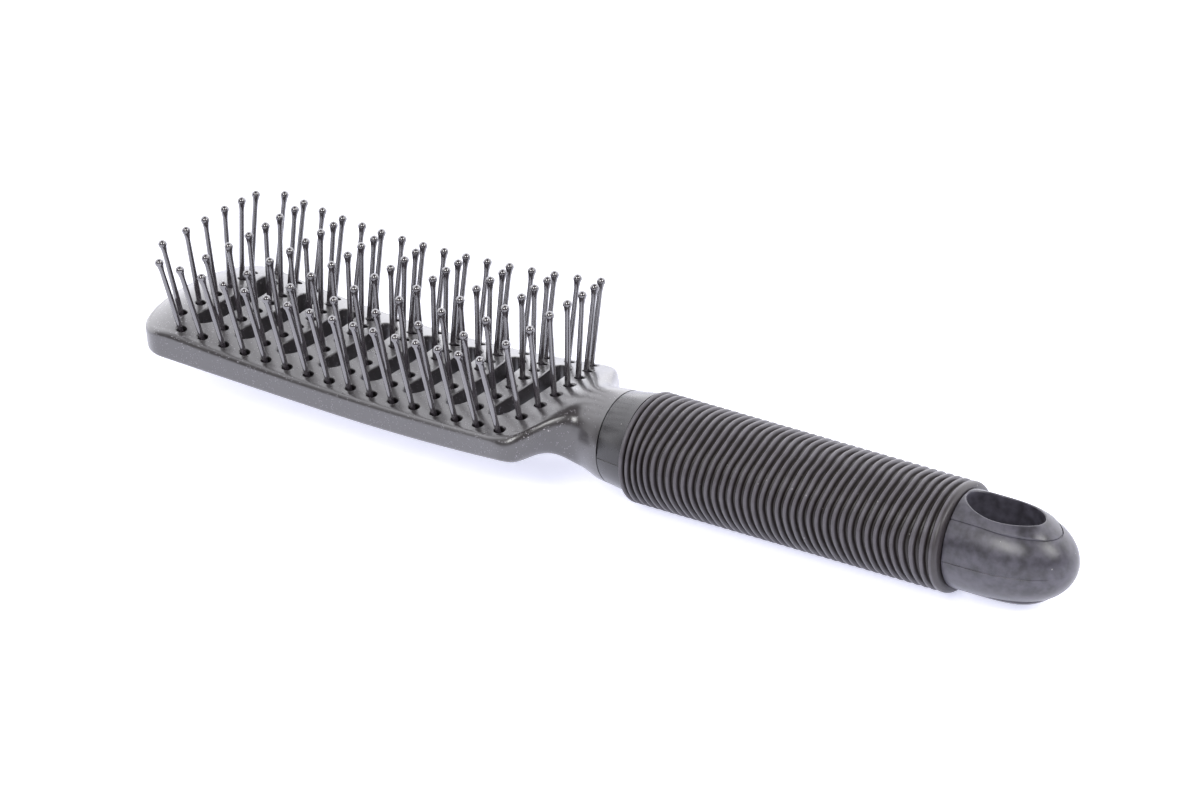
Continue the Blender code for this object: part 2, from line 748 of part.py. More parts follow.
def eye_prism(name, length_margin, width_margin, low, high, back_x=None):
    """An upright oval prism round the hanging eye, drawn straight back to back_x if that is given."""
    outline = []
    for step in range(EYE_SIDES):
        angle = 2 * math.pi * step / EYE_SIDES
        x = EYE_CENTRE_X + (EYE_HALF_LENGTH + length_margin) * math.cos(angle)
        y = (EYE_HALF_WIDTH + width_margin) * math.sin(angle)
        outline.append((x, y))
    if back_x is not None:
        outline = [point for point in outline if point[0] > EYE_CENTRE_X - MERGE_DISTANCE]
        outline.sort(key=lambda point: math.atan2(point[1], point[0] - EYE_CENTRE_X))
        outline = [(back_x, outline[0][1])] + outline + [(back_x, outline[-1][1])]
    rings = [[(x, y, z) for x, y in outline] for z in (low, high)]
    return add_object(name, loft_mesh(name, rings))


def make_handle_body():
    """Collar, core and hanging end in one moulding, with a socket for the tang and the hanging eye."""
    black = material("handle_black", (0.028, 0.028, 0.031), 0.42)
    mesh = loft_mesh("handle_body", handle_rings())
    smooth(mesh)
    body = add_object("handle_body", mesh, black)
    land_rings = hanging_end_rings(
        EYE_LAND_HALF_WIDTH, EYE_LAND_HALF_HEIGHT, EYE_LAND_NOSE_LENGTH, EYE_LAND_NOSE_EXPONENT)
    land = add_object("eye_land", loft_mesh("eye_land", land_rings))
    axis = axis_z(EYE_CENTRE_X)
    low = axis - EYE_LAND_HALF_HEIGHT - CUT_OVERRUN
    high = axis + EYE_LAND_HALF_HEIGHT + CUT_OVERRUN
    margins = (EYE_LAND_LENGTH_MARGIN, EYE_LAND_WIDTH_MARGIN)
    boolean(land, eye_prism("eye_land_outline", *margins, low, high, END_START_X - CUT_OVERRUN), "INTERSECT")
    boolean(body, land, "UNION")
    boolean(body, eye_prism("hanging_eye", 0.0, 0.0, low, high), "DIFFERENCE")
    socket_rings = []
    for reach, taper in ((-CUT_OVERRUN, 0.0), (0.0, 0.0), (TANG_LENGTH, TANG_TAPER)):
        width = TANG_HALF_WIDTH + SEAT_GAP - taper
        height = TANG_HALF_HEIGHT + SEAT_GAP - taper
        depth = SEAT_GAP if reach > 0 else 0.0
        socket_rings.append(whole_ring(neck_half_ring(SEAM_X + reach + depth, width, height, height)))
    socket = add_object("tang_socket", loft_mesh("tang_socket", socket_rings))
    boolean(body, socket, "DIFFERENCE")


def sleeve_ring(x, depth):
    """A section of the sleeve, which tapers as the axis drops so that its underside stays level."""
    taper = axis_z(x)
    return oval_ring(x, SLEEVE_HALF_WIDTH + taper - depth, SLEEVE_HALF_HEIGHT + taper - depth, taper)


def make_grip_sleeve():
    """Ribbed rubber sleeve with a thin front lip and a plain cuff, bored to slip over the core."""
    rubber = material("grip_rubber", (0.022, 0.021, 0.022), 0.72)
    places = [(SLEEVE_FRONT_X, 0.0), (SLEEVE_FRONT_X + SLEEVE_LIP / 2, 0.0)]
    first_rib = SLEEVE_FRONT_X + SLEEVE_LIP
    for rib in range(RIB_COUNT):
        groove = first_rib + RIB_PITCH * rib
        places.append((groove, RIB_HEIGHT))
        places.append((groove + RIB_PITCH * RIB_CREST_SHARE, 0.0))
    places.append((SLEEVE_END_X, 0.0))
    mesh = loft_mesh("grip_sleeve", [sleeve_ring(x, depth) for x, depth in places])
    smooth(mesh)
    sleeve = add_object("grip_sleeve", mesh, rubber)
    bore = (CORE_HALF_WIDTH + SEAT_GAP, CORE_HALF_HEIGHT + SEAT_GAP)
    ends = (SLEEVE_FRONT_X - CUT_OVERRUN, SLEEVE_END_X + CUT_OVERRUN)
    bore_mesh = loft_mesh("sleeve_bore", [oval_ring(x, *bore, axis_z(x)) for x in ends])
    boolean(sleeve, add_object("sleeve_bore", bore_mesh), "DIFFERENCE")


def clear_scene():
    """Start from an empty scene."""
    for old in list(bpy.data.objects):
        bpy.data.objects.remove(old, do_unlink=True)


def add_frame():
    """The empty that carries every piece: its place sets the origin of the brush."""
    frame = bpy.data.objects.new("brush_frame", None)
    frame.location = (-BRUSH_MIDDLE_X, 0.0, -FLOOR_Z)
    bpy.context.collection.objects.link(frame)


clear_scene()
add_frame()
make_head_shell()
make_back_cover()
make_pin_strips()
make_pin_rails()
make_handle_body()
make_grip_sleeve()
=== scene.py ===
"""Vent brush: slotted head with ball-tipped pins, waisted neck, ribbed grip and hanging end.

Pieces are modelled along the brush, with x counted from the first outer pin and z from the handle's axis, and
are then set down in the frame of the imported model: +X towards the hanging end, +Z up along the pins.
"""

import math

import bmesh
import bpy
from mathutils import Matrix, Vector, noise


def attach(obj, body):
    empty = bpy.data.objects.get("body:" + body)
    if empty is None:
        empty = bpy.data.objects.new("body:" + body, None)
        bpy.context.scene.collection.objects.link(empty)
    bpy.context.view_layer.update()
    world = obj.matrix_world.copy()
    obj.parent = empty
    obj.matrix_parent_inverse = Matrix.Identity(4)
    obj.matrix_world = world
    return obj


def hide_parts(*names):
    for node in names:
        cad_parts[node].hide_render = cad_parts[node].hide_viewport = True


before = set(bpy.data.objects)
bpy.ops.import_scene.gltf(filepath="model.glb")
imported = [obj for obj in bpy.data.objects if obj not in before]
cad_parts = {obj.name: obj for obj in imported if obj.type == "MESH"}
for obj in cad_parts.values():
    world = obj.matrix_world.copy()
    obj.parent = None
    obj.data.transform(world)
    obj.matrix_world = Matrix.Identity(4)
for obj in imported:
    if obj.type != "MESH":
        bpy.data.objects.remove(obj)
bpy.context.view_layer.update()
bpy.ops.object.select_all(action="DESELECT")

# Camera: a long lens in front of the brush and to its right, so that the hanging end is nearest.
# It looks down at the table, and leans a few degrees.

CAMERA_PLACE = (0.325283, -0.439418, 0.298087)
CAMERA_DEGREES = (62.8604, 2.8095, 34.8293)

camera = bpy.data.objects.new("product_camera", bpy.data.cameras.new("product_camera"))
bpy.context.collection.objects.link(camera)
camera.data.lens = 90.0
camera.data.sensor_width = 36.0
camera.data.clip_start = 0.01
camera.data.clip_end = 20.0
camera.location = CAMERA_PLACE
camera.rotation_euler = [math.radians(angle) for angle in CAMERA_DEGREES]
bpy.context.scene.camera = camera

# Studio: a white table under the brush, a white backdrop behind it and an unlit room behind the camera.
# Two softboxes stand left and right of the camera, and they make the twin highlights on the pins' balls.

MM = 0.001
BACKDROP_DIRECTION = (-0.5916, 0.8063, 0.0)
BACKDROP_SIDE_SHARES = (-0.3, 0.2)
BACKDROP_TOP_SHARES = (0.93, 0.84)
ROOM_LIGHT = (0.30, 0.29, 0.285, 1.0)
BACKDROP_LIGHT = (1.0, 1.0, 1.0, 1.0)
ROOM_REFLECTION = (0.10, 0.09, 0.08, 1.0)
BACKDROP_REFLECTION = (3.0, 3.0, 3.15, 1.0)
TABLE_SIZE = 8.0
TABLE_GAP = 0.05 * MM
TABLE_COLOUR = (0.93, 0.93, 0.97, 1.0)
TABLE_GLOW = (0.90, 0.92, 1.12, 1.0)
TABLE_VIEW_LIFT = 0.63
TABLE_REFLECTION_LIFT = 0.9
SOFTBOX_ELEVATION = 42.0
SOFTBOX_DISTANCE = 1.1
SOFTBOX_WIDTH = 0.46
SOFTBOX_HEIGHT = 0.50
SOFTBOX_POWER = 6.3


def set_inputs(tree, node, inputs):
    """Give a node's inputs plain values, or link outputs of other nodes to them."""
    for name, value in inputs.items():
        if isinstance(value, bpy.types.NodeSocket):
            tree.links.new(value, node.inputs[name])
        else:
            node.inputs[name].default_value = value


def add_node(tree, kind, inputs=None, **settings):
    """A node with its settings and inputs."""
    node = tree.nodes.new(kind)
    for name, value in settings.items():
        setattr(node, name, value)
    set_inputs(tree, node, inputs or {})
    return node


def calculate(tree, operation, *terms, kind="ShaderNodeMath"):
    """The result of a maths node over plain values and outputs of other nodes."""
    return add_node(tree, kind, dict(enumerate(terms)), operation=operation).outputs[0]


def mix(tree, share, first, second, kind="RGBA"):
    """A mix from a first colour or number to a second one."""
    node = add_node(tree, "ShaderNodeMix", {"Factor": share, "A": first, "B": second}, data_type=kind)
    return node.outputs["Result"]


def map_range(tree, value, low, high, first=0.0, last=1.0, step="LINEAR"):
    """A number that runs from first to last while the value runs from low to high."""
    limits = {"From Min": low, "From Max": high, "To Min": first, "To Max": last}
    node = add_node(tree, "ShaderNodeMapRange", {"Value": value, **limits}, interpolation_type=step)
    return node.outputs["Result"]


def noise_share(tree, spot, scale, detail):
    """Soft noise between 0 and 1 over a piece."""
    node = add_node(tree, "ShaderNodeTexNoise", {"Vector": spot, "Scale": scale, "Detail": detail})
    return node.outputs["Fac"]


world = bpy.data.worlds.new("studio_world")
bpy.context.scene.world = world
world.use_nodes = True
sky = world.node_tree
sky.nodes.clear()
sky_path = add_node(sky, "ShaderNodeLightPath")
sky_direction = add_node(sky, "ShaderNodeTexCoord").outputs["Generated"]
sky_height = add_node(sky, "ShaderNodeSeparateXYZ", {0: sky_direction}).outputs["Z"]
sky_dot = add_node(sky, "ShaderNodeVectorMath", {0: sky_direction, 1: BACKDROP_DIRECTION},
                   operation="DOT_PRODUCT")
sky_side = map_range(sky, sky_dot.outputs["Value"], *BACKDROP_SIDE_SHARES, step="SMOOTHSTEP")
sky_top = map_range(sky, sky_height, *BACKDROP_TOP_SHARES, step="SMOOTHSTEP")
sky_share = calculate(sky, "MULTIPLY", sky_side, sky_top)
sky_lighting = mix(sky, sky_share, ROOM_LIGHT, BACKDROP_LIGHT)
sky_mirrored = mix(sky, sky_share, ROOM_REFLECTION, BACKDROP_REFLECTION)
sky_unseen = mix(sky, sky_path.outputs["Is Glossy Ray"], sky_lighting, sky_mirrored)
sky_colour = mix(sky, sky_path.outputs["Is Camera Ray"], sky_unseen, BACKDROP_LIGHT)
sky_light = add_node(sky, "ShaderNodeBackground", {"Color": sky_colour})
add_node(sky, "ShaderNodeOutputWorld", {"Surface": sky_light.outputs[0]})

bpy.ops.mesh.primitive_plane_add(size=TABLE_SIZE, location=(0.0, 0.0, -TABLE_GAP))
table = bpy.context.object
table.name = "studio_table"
table_finish = bpy.data.materials.new("studio_table_white")
table_finish.use_nodes = True
table_tree = table_finish.node_tree
table_tree.nodes.clear()
table_path = add_node(table_tree, "ShaderNodeLightPath")
table_shine = calculate(table_tree, "MULTIPLY", table_path.outputs["Is Glossy Ray"], TABLE_REFLECTION_LIFT)
table_lift = calculate(table_tree, "MULTIPLY_ADD", table_path.outputs["Is Camera Ray"], TABLE_VIEW_LIFT,
                       table_shine)
table_diffuse = add_node(table_tree, "ShaderNodeBsdfDiffuse", {"Color": TABLE_COLOUR})
table_glow = add_node(table_tree, "ShaderNodeEmission", {"Color": TABLE_GLOW, "Strength": table_lift})
table_sum = add_node(table_tree, "ShaderNodeAddShader",
                     {0: table_diffuse.outputs[0], 1: table_glow.outputs[0]})
add_node(table_tree, "ShaderNodeOutputMaterial", {"Surface": table_sum.outputs[0]})
table.data.materials.append(table_finish)


def add_softbox(name, azimuth):
    """A soft white lamp that looks down at the brush from an azimuth in degrees."""
    turn = math.radians(azimuth)
    lift = math.radians(SOFTBOX_ELEVATION)
    away = Vector((math.sin(turn) * math.cos(lift), -math.cos(turn) * math.cos(lift), math.sin(lift)))
    lamp = bpy.data.objects.new(name, bpy.data.lights.new(name, "AREA"))
    bpy.context.collection.objects.link(lamp)
    lamp.data.shape = "RECTANGLE"
    lamp.data.size = SOFTBOX_WIDTH
    lamp.data.size_y = SOFTBOX_HEIGHT
    lamp.data.energy = SOFTBOX_POWER
    lamp.location = away * SOFTBOX_DISTANCE
    lamp.rotation_euler = away.to_track_quat("Z", "Y").to_euler()


add_softbox("softbox_left", azimuth=4.0)
add_softbox("softbox_right", azimuth=86.0)

# Head: crowned plate, deep skirt, shoulder and neck, moulded in one charcoal plastic with fine silver flakes.
# Arched vents go right through it, and every pin has a long hole. Channels underneath hold the pin strips.
# A tang behind the neck goes into the handle.

BRUSH_MIDDLE = 97.3425 * MM
AXIS_HEIGHT = 11.5 * MM
GAP = 0.3 * MM
OVERRUN = 1.5 * MM
PIN_PITCH = 5.75 * MM
ROW_PITCH = 4.3 * MM
OUTER_PINS = 16
ROWS_PER_SIDE = 4
ARCH_RADIUS = 29.0 * MM
WAIST_SHARE = 0.08
PLATE_RISE = 5.8 * MM
PLATE_ROCK = 2.25 * MM
CROWN_RADIUS = 60.5 * MM
PLATE_SKIN = 1.5 * MM
TILT_SHARE = 0.033
HEAD_DEPTH = 8.2 * MM
BACK_ROCK = 1.0 * MM
NOSE_LENGTH = 13.3 * MM
NOSE_DROP = 3.8 * MM
NOSE_ROUND = 9.2 * MM
NOSE_SQUARE = 0.62
TIP_SHARE = 0.0008
MERGE_DISTANCE = 0.001 * MM
EDGE_MARGIN = 2.95 * MM
LIP_IN = 1.3 * MM
LIP_DROP = 1.5 * MM
SHOULDER_LIP = 1.3 * MM
CORNER_ROUND = 2.2 * MM
WAIST_ROUND = 1.3 * MM
ROUNDING_STEPS = 3
SHOULDER_MARGIN = 3.75 * MM
SHOULDER_LENGTH = 9.5 * MM
NECK_LENGTH = 6.3 * MM
SKIRT_ROUND = 1.0 * MM
VENT_WIDTH = 4.8 * MM
VENT_HALF_LENGTH = 11.9 * MM
VENT_RIM = 0.3 * MM
HOLE_HALF_WIDTH = 1.0 * MM
HOLE_HALF_LENGTH = 1.3 * MM
HOLE_RIM = 0.16 * MM
PIN_BASE = 0.62 * MM
FIELD_HALF = PIN_PITCH * (OUTER_PINS - 2) / 2
OUTER_ROW = ROW_PITCH * (ROWS_PER_SIDE - 0.5)
LAST_PIN = PIN_PITCH * (OUTER_PINS - 1)
SHOULDER_START = LAST_PIN + SHOULDER_MARGIN
SHOULDER_END = SHOULDER_START + SHOULDER_LENGTH
SEAM = SHOULDER_END + NECK_LENGTH
NECK_HALF_WIDTH = 8.8 * MM
NECK_TOP = 9.8 * MM
NECK_UNDER = 9.2 * MM
SHOULDER_LIFT = 2.0 * MM
SEAM_HALF_WIDTH = 10.2 * MM
SEAM_HALF_HEIGHT = 9.8 * MM
COLLAR_RISE = 0.5 * MM
TANG_LENGTH = 24.0 * MM
TANG_HALF_WIDTH = 5.6 * MM
TANG_HALF_HEIGHT = 4.2 * MM
TANG_TAPER = 0.6 * MM
UNDER_LEAD = 2.5 * MM
UNDER_TRAIL = 2.3 * MM
NOSE_STEPS = 26
SIDE_STEPS = 110
NECK_STEPS = 40
STRIP_COLUMNS = range(-1, OUTER_PINS, 2)
VENT_COLUMNS = range(0, OUTER_PINS, 2)


def ramp(value):
    """An S-shaped ramp from 0 to 1."""
    value = min(max(value, 0.0), 1.0)
    return value * value * (3 - 2 * value)


def field_share(x):
    """Place along the pin field, from -1 at the first outer pins to 1 at the last."""
    return (x - FIELD_HALF) / FIELD_HALF


def plate_z(x, y):
    """Height of the plate: rocked lengthwise, crowned across and rolled down at the nose."""
    rock = PLATE_ROCK * field_share(x) ** 2
    roll = NOSE_DROP * (max(-x, 0.0) / NOSE_LENGTH) ** 2
    return PLATE_RISE + rock - roll - y * y / (2 * CROWN_RADIUS) - TILT_SHARE * (x - FIELD_HALF)


def back_z(x):
    """Height of the head's underside."""
    share = field_share(x)
    lift = (BACK_ROCK if share < 0 else PLATE_ROCK) * share ** 2
    return PLATE_RISE - HEAD_DEPTH + lift - TILT_SHARE * (x - FIELD_HALF)


def column_arch(y):
    """How far an arched column lies towards the handle at y, from its outer pins."""
    return math.sqrt(ARCH_RADIUS ** 2 - y * y) - math.sqrt(ARCH_RADIUS ** 2 - OUTER_ROW ** 2)


def spread(x):
    """How much wider the pin field is at x than at its waist."""
    return 1 + WAIST_SHARE * field_share(x) ** 2


def column_point(column, y):
    """Plan point of an arched column at y."""
    x = column * PIN_PITCH
    return x + column_arch(y), y * spread(x)


def side_y(x):
    """Half width of the head's straight side."""
    return OUTER_ROW * spread(x) + EDGE_MARGIN


def outline_point(x):
    """Half width down the shoulder and out to the collar, with the corner and the waist rounded."""
    corner = ramp((SHOULDER_START + 2 * CORNER_ROUND - x) / CORNER_ROUND)
    reach = WAIST_ROUND + (CORNER_ROUND - WAIST_ROUND) * corner
    steps = range(-ROUNDING_STEPS, ROUNDING_STEPS + 1)
    return sum(plain_outline(x + reach * step / ROUNDING_STEPS) for step in steps) / len(steps)


def plain_outline(x):
    """Half width of the moulding behind the nose before it is rounded."""
    shoulder = ramp((x - SHOULDER_START) / (SHOULDER_END - SHOULDER_START))
    flare = ramp((x - SHOULDER_END) / (SEAM - SHOULDER_END))
    head = side_y(min(x, SHOULDER_START))
    return head + (NECK_HALF_WIDTH - head) * shoulder + (SEAM_HALF_WIDTH - NECK_HALF_WIDTH) * flare


def outline_stations(nose_steps, side_steps, neck_steps):
    """Plan points from the tip to the seam, each with the direction that points outwards."""
    stations = []
    for step in range(nose_steps):
        angle = math.pi / 2 * (step + TIP_SHARE) / nose_steps
        x = -NOSE_LENGTH + NOSE_ROUND * (1 - math.cos(angle))
        share = math.sin(angle) ** NOSE_SQUARE
        across = share ** (2 / NOSE_SQUARE - 1) / NOSE_SQUARE
        along = math.cos(angle) * side_y(x) / NOSE_ROUND
        stations.append((x, side_y(x) * share, Vector((-along, across)).normalized()))
    start = -NOSE_LENGTH + NOSE_ROUND
    for step in range(side_steps):
        x = start + (SHOULDER_START - start) * step / side_steps
        stations.append((x, outline_point(x), Vector((0.0, 1.0))))
    for step in range(neck_steps + 1):
        x = SHOULDER_START + (SEAM - SHOULDER_START) * step / neck_steps
        stations.append((x, outline_point(x), Vector((0.0, 1.0))))
    return stations


# Places round half a section, from the crown over the lip, the skirt and the lower round to the back
LIP_PLACE = 3.0
SKIRT_PLACE = 4.0
ROUND_PLACE = 6.0
BACK_PLACE = 8.0
LAST_PLACE = 11.0
PLACE_MARKS = (0.0, LIP_PLACE, SKIRT_PLACE, ROUND_PLACE, BACK_PLACE, LAST_PLACE)
PLACE_COUNTS = (20, 7, 5, 7, 9)
BLEND_PLACE = 3.5
BLEND_SPAN = 2.5
TOP_SHARES = (0.0, 0.35, 0.7, 1.0)
BACK_SHARES = (1.0, 0.67, 0.33, 0.0)


def between(shares, place):
    """A value between evenly placed shares."""
    index = min(int(place), len(shares) - 2)
    return shares[index] + (shares[index + 1] - shares[index]) * (place - index)


def half_places():
    """Where the points of half a section stand."""
    places = []
    for low, high, count in zip(PLACE_MARKS, PLACE_MARKS[1:], PLACE_COUNTS):
        places += [low + (high - low) * step / count for step in range(count)]
    return places + [LAST_PLACE]


def section_point(x, y, outward, place):
    """One point of a section of the head."""
    rounder = SHOULDER_LIP * ramp((x - SHOULDER_START) / (3 * SHOULDER_LIP) + 1)
    lip_in = LIP_IN + rounder
    lip_drop = LIP_DROP + rounder
    lip_x = x - outward.x * lip_in
    lip_y = max(y - outward.y * lip_in, 0.0)
    foot_x = x - outward.x * SKIRT_ROUND
    foot_y = max(y - outward.y * SKIRT_ROUND, 0.0)
    lip_z = plate_z(lip_x, lip_y)
    under = back_z(x)
    if place <= LIP_PLACE:
        across = lip_y * between(TOP_SHARES, place)
        return Vector((lip_x, across, plate_z(lip_x, across)))
    if place <= SKIRT_PLACE:
        angle = math.pi / 2 * (place - LIP_PLACE)
        reach = math.sin(angle)
        drop = 1 - math.cos(angle)
        return Vector((lip_x + (x - lip_x) * reach, lip_y + (y - lip_y) * reach, lip_z - lip_drop * drop))
    if place <= ROUND_PLACE:
        top = lip_z - lip_drop
        low = under + SKIRT_ROUND
        return Vector((x, y, top + (low - top) * (place - SKIRT_PLACE) / 2))
    if place <= BACK_PLACE:
        angle = math.pi / 4 * (place - ROUND_PLACE)
        reach = 1 - math.cos(angle)
        height = under + SKIRT_ROUND * (1 - math.sin(angle))
        return Vector((x + (foot_x - x) * reach, y + (foot_y - y) * reach, height))
    across = foot_y * between(BACK_SHARES, place - BACK_PLACE)
    return Vector((foot_x, across, under))


def head_section(x, y, outward):
    """Half a section of the head, blended into the neck's oval behind the shoulder."""
    blend = ramp((x - SHOULDER_START) / (SEAM - SHOULDER_START))
    flare = ramp((x - SHOULDER_END) / (SEAM - SHOULDER_END))
    under_start = SHOULDER_START - UNDER_LEAD
    under_end = SEAM - UNDER_TRAIL
    under_blend = ramp((x - under_start) / (under_end - under_start))
    reach = min(max((x - SHOULDER_START) / (SHOULDER_END - SHOULDER_START), 0.0), 1.0)
    lift = Vector((0.0, 0.0, SHOULDER_LIFT * (4 * reach * (1 - reach)) ** 3))
    points = []
    for place in half_places():
        flat = section_point(x, y, outward, place)
        if under_blend > 0.0:
            angle = math.pi / 2 - math.pi * place / LAST_PLACE
            plain = NECK_TOP if angle > 0 else NECK_UNDER
            height = plain + (SEAM_HALF_HEIGHT - plain) * flare
            neck = Vector((x, y * math.cos(angle), COLLAR_RISE + height * math.sin(angle)))
            share = ramp((place - BLEND_PLACE) / BLEND_SPAN)
            flat = flat.lerp(neck, blend + (under_blend - blend) * share) + lift * share
        points.append(flat)
    return points


def mirrored_ring(half):
    """A whole ring from half a section."""
    return half + [Vector((point.x, -point.y, point.z)) for point in reversed(half[1:-1])]


def skin_rings(name, rings, ends="capped"):
    """Skin like rings into a piece whose ends are capped, left open, or joined from last to first."""
    bm = bmesh.new()
    loops = [[bm.verts.new(point) for point in ring] for ring in rings]
    pairs = list(zip(loops, loops[1:]))
    if ends == "joined":
        pairs.append((loops[-1], loops[0]))
    count = len(loops[0])
    for near, far in pairs:
        for index in range(count):
            after = (index + 1) % count
            bm.faces.new((near[index], near[after], far[after], far[index]))
    if ends == "capped":
        bm.faces.new(loops[0])
        bm.faces.new(loops[-1])
    bmesh.ops.remove_doubles(bm, verts=bm.verts, dist=MERGE_DISTANCE)
    bmesh.ops.recalc_face_normals(bm, faces=bm.faces)
    mesh = bpy.data.meshes.new(name)
    bm.to_mesh(mesh)
    bm.free()
    made = bpy.data.objects.new(name, mesh)
    bpy.context.collection.objects.link(made)
    return made


def select_only(piece):
    """Select one piece alone and make it the active one."""
    bpy.ops.object.select_all(action="DESELECT")
    piece.select_set(True)
    bpy.context.view_layer.objects.active = piece


def combine(piece, tool, operation):
    """Apply a boolean of one piece with a tool, and throw the tool away."""
    select_only(piece)
    modifier = piece.modifiers.new("combine", "BOOLEAN")
    modifier.operation = operation
    modifier.object = tool
    modifier.solver = "MANIFOLD"
    bpy.ops.object.modifier_apply(modifier=modifier.name)
    bpy.data.objects.remove(tool, do_unlink=True)


def join_pieces(name, pieces):
    """Join pieces into one object."""
    bpy.ops.object.select_all(action="DESELECT")
    for piece in pieces:
        piece.select_set(True)
    bpy.context.view_layer.objects.active = pieces[0]
    bpy.ops.object.join()
    made = bpy.context.object
    made.name = name
    made.data.name = name
    return made


def set_down(piece, finish, node, angle=32.0):
    """Move a finished piece from the brush's own coordinates into the frame, give it its finish, and hide the
    CAD part that it stands for.
    """
    piece.data.transform(Matrix.Translation((-BRUSH_MIDDLE, 0.0, AXIS_HEIGHT)))
    select_only(piece)
    bpy.ops.object.shade_smooth_by_angle(angle=math.radians(angle))
    piece.data.materials.clear()
    piece.data.materials.append(finish)
    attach(piece, "root")
    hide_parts(node)


BAR_END = 1.3 * MM
RAIL_SINK = 0.6 * MM
RAIL_INSET = OUTER_ROW / CROWN_RADIUS * (PLATE_SKIN + GAP + RAIL_SINK)
STRIP_HALF_LENGTH = ROW_PITCH * (ROWS_PER_SIDE - 1.5) + BAR_END
STRIP_WIDTH = 3.7 * MM
RAIL_WIDTH = 2.2 * MM
COVER_THICKNESS = 1.0 * MM
COVER_CLEARANCE = 1.4 * MM
COVER_INSET = 1.5 * MM
COVER_END_MARGIN = 2.9 * MM
POCKET_INSET = 2.5 * MM
POCKET_WALL = 1.0 * MM
CROSS_BAR_STEPS = 16
LONG_BAR_STEPS = 24
INNER_NOSE_STEPS = 20
INNER_SIDE_STEPS = 40
INNER_STEPS = 12
VENT_RIM_STEPS = 5
VENT_END_STEPS = 12
VENT_SIDE_STEPS = 10
HOLE_SIDES = 20
HOLE_BELOW = 0.8 * MM
HOLE_ABOVE = 0.6 * MM
HOLE_FLARE = 0.7 * MM


def bar_ring(centre_x, centre_y, offset_x, offset_y, low, high):
    """Four corners of a bar's section at a plan point, with heights from functions of the plan."""
    left = (centre_x - offset_x, centre_y - offset_y)
    right = (centre_x + offset_x, centre_y + offset_y)
    return [(*left, low(*left)), (*right, low(*right)), (*right, high(*right)), (*left, high(*left))]


def cross_bar(name, column, half_length, half_width, low, high):
    """An arched bar under one column."""
    rings = []
    for step in range(CROSS_BAR_STEPS + 1):
        x, y = column_point(column, half_length * (2 * step / CROSS_BAR_STEPS - 1))
        rings.append(bar_ring(x, y, half_width, 0.0, low, high))
    return skin_rings(name, rings)


def long_bar(name, side, reach, half_width, low, high):
    """A lengthwise bar under one outer row, from a reach before the first pin to the same past the last."""
    rings = []
    for step in range(LONG_BAR_STEPS + 1):
        x = -reach + (LAST_PIN + 2 * reach) * step / LONG_BAR_STEPS
        y = side * (OUTER_ROW * spread(x) - RAIL_INSET)
        rings.append(bar_ring(x, y, 0.0, half_width, low, high))
    return skin_rings(name, rings)


def plate_under(x, y):
    """Height of the plate's inner face."""
    return plate_z(x, y) - PLATE_SKIN


def below_head(x, y):
    """A height safely below the head, for cutters."""
    return back_z(x) - OVERRUN


def recess_top(x, y):
    """Height of the roof of the cover's recess."""
    return back_z(x) + COVER_THICKNESS + COVER_CLEARANCE


def pin_lean(y):
    """The direction of a pin, which stands square to the crown."""
    return Vector((TILT_SHARE, y / CROWN_RADIUS, 1.0)).normalized()


def rim_curve(radius, steps):
    """Rises and growths of a cutter that leaves a rounded rim."""
    curve = []
    for step in range(steps + 1):
        angle = math.pi / 2 * step / steps
        curve.append((radius * (math.sin(angle) - 1), radius * (1 - math.cos(angle))))
    return curve


def vent_outline(straight):
    """Outward directions round a vent, each with its place along the straight part."""
    outline = []
    for end in (1, -1):
        for step in range(VENT_END_STEPS + 1):
            angle = math.pi * step / VENT_END_STEPS
            outline.append((Vector((math.cos(angle) * end, math.sin(angle) * end)), straight * end))
        for step in range(1, VENT_SIDE_STEPS):
            outline.append((Vector((-1.0 * end, 0.0)), straight * end * (1 - 2 * step / VENT_SIDE_STEPS)))
    return outline


def vent_tool(column):
    """A cutter for one vent: a stadium prism that flares at its upper rim and follows the arch."""
    radius = VENT_WIDTH / 2
    outline = vent_outline(VENT_HALF_LENGTH - radius)
    rings = []
    levels = [(None, 0.0)] + rim_curve(VENT_RIM, VENT_RIM_STEPS) + [(OVERRUN, VENT_RIM + OVERRUN)]
    for height, growth in levels:
        ring = []
        for normal, along in outline:
            x, y = column_point(column, normal.y * (radius + growth) + along)
            x += normal.x * (radius + growth)
            z = below_head(x, y) if height is None else plate_z(x, y) + height
            ring.append((x, y, z))
        rings.append(ring)
    return skin_rings("vent_tool", rings)


def hole_tool(x, y):
    """A cutter for one pin's long hole, with a small flare at the plate."""
    shift = HOLE_HALF_LENGTH - PIN_BASE - GAP
    foot = Vector((x + shift, y, plate_z(x, y)))
    lean = pin_lean(y)
    side = lean.cross(Vector((1.0, 0.0, 0.0))).normalized()
    levels = [(-PLATE_SKIN - HOLE_BELOW, 0.0), (-HOLE_RIM, 0.0), (0.0, HOLE_RIM), (HOLE_ABOVE, HOLE_FLARE)]
    rings = []
    for height, growth in levels:
        ring = []
        for step in range(HOLE_SIDES):
            angle = 2 * math.pi * step / HOLE_SIDES
            centre = foot + lean * height
            reach = Vector((math.cos(angle) * (HOLE_HALF_LENGTH + growth), 0.0, 0.0))
            ring.append(centre + reach + side * math.sin(angle) * (HOLE_HALF_WIDTH + growth))
        rings.append(ring)
    return skin_rings("hole_tool", rings)


def strip_pins(column):
    """Plan points of the six pins of one cross strip."""
    rows = [side * ROW_PITCH * (row + 0.5) for row in range(ROWS_PER_SIDE - 1) for side in (-1, 1)]
    return [column_point(column, y) for y in rows]


def rail_pins(side):
    """Plan points of the sixteen pins of one rail."""
    return [column_point(column, side * OUTER_ROW) for column in range(OUTER_PINS)]


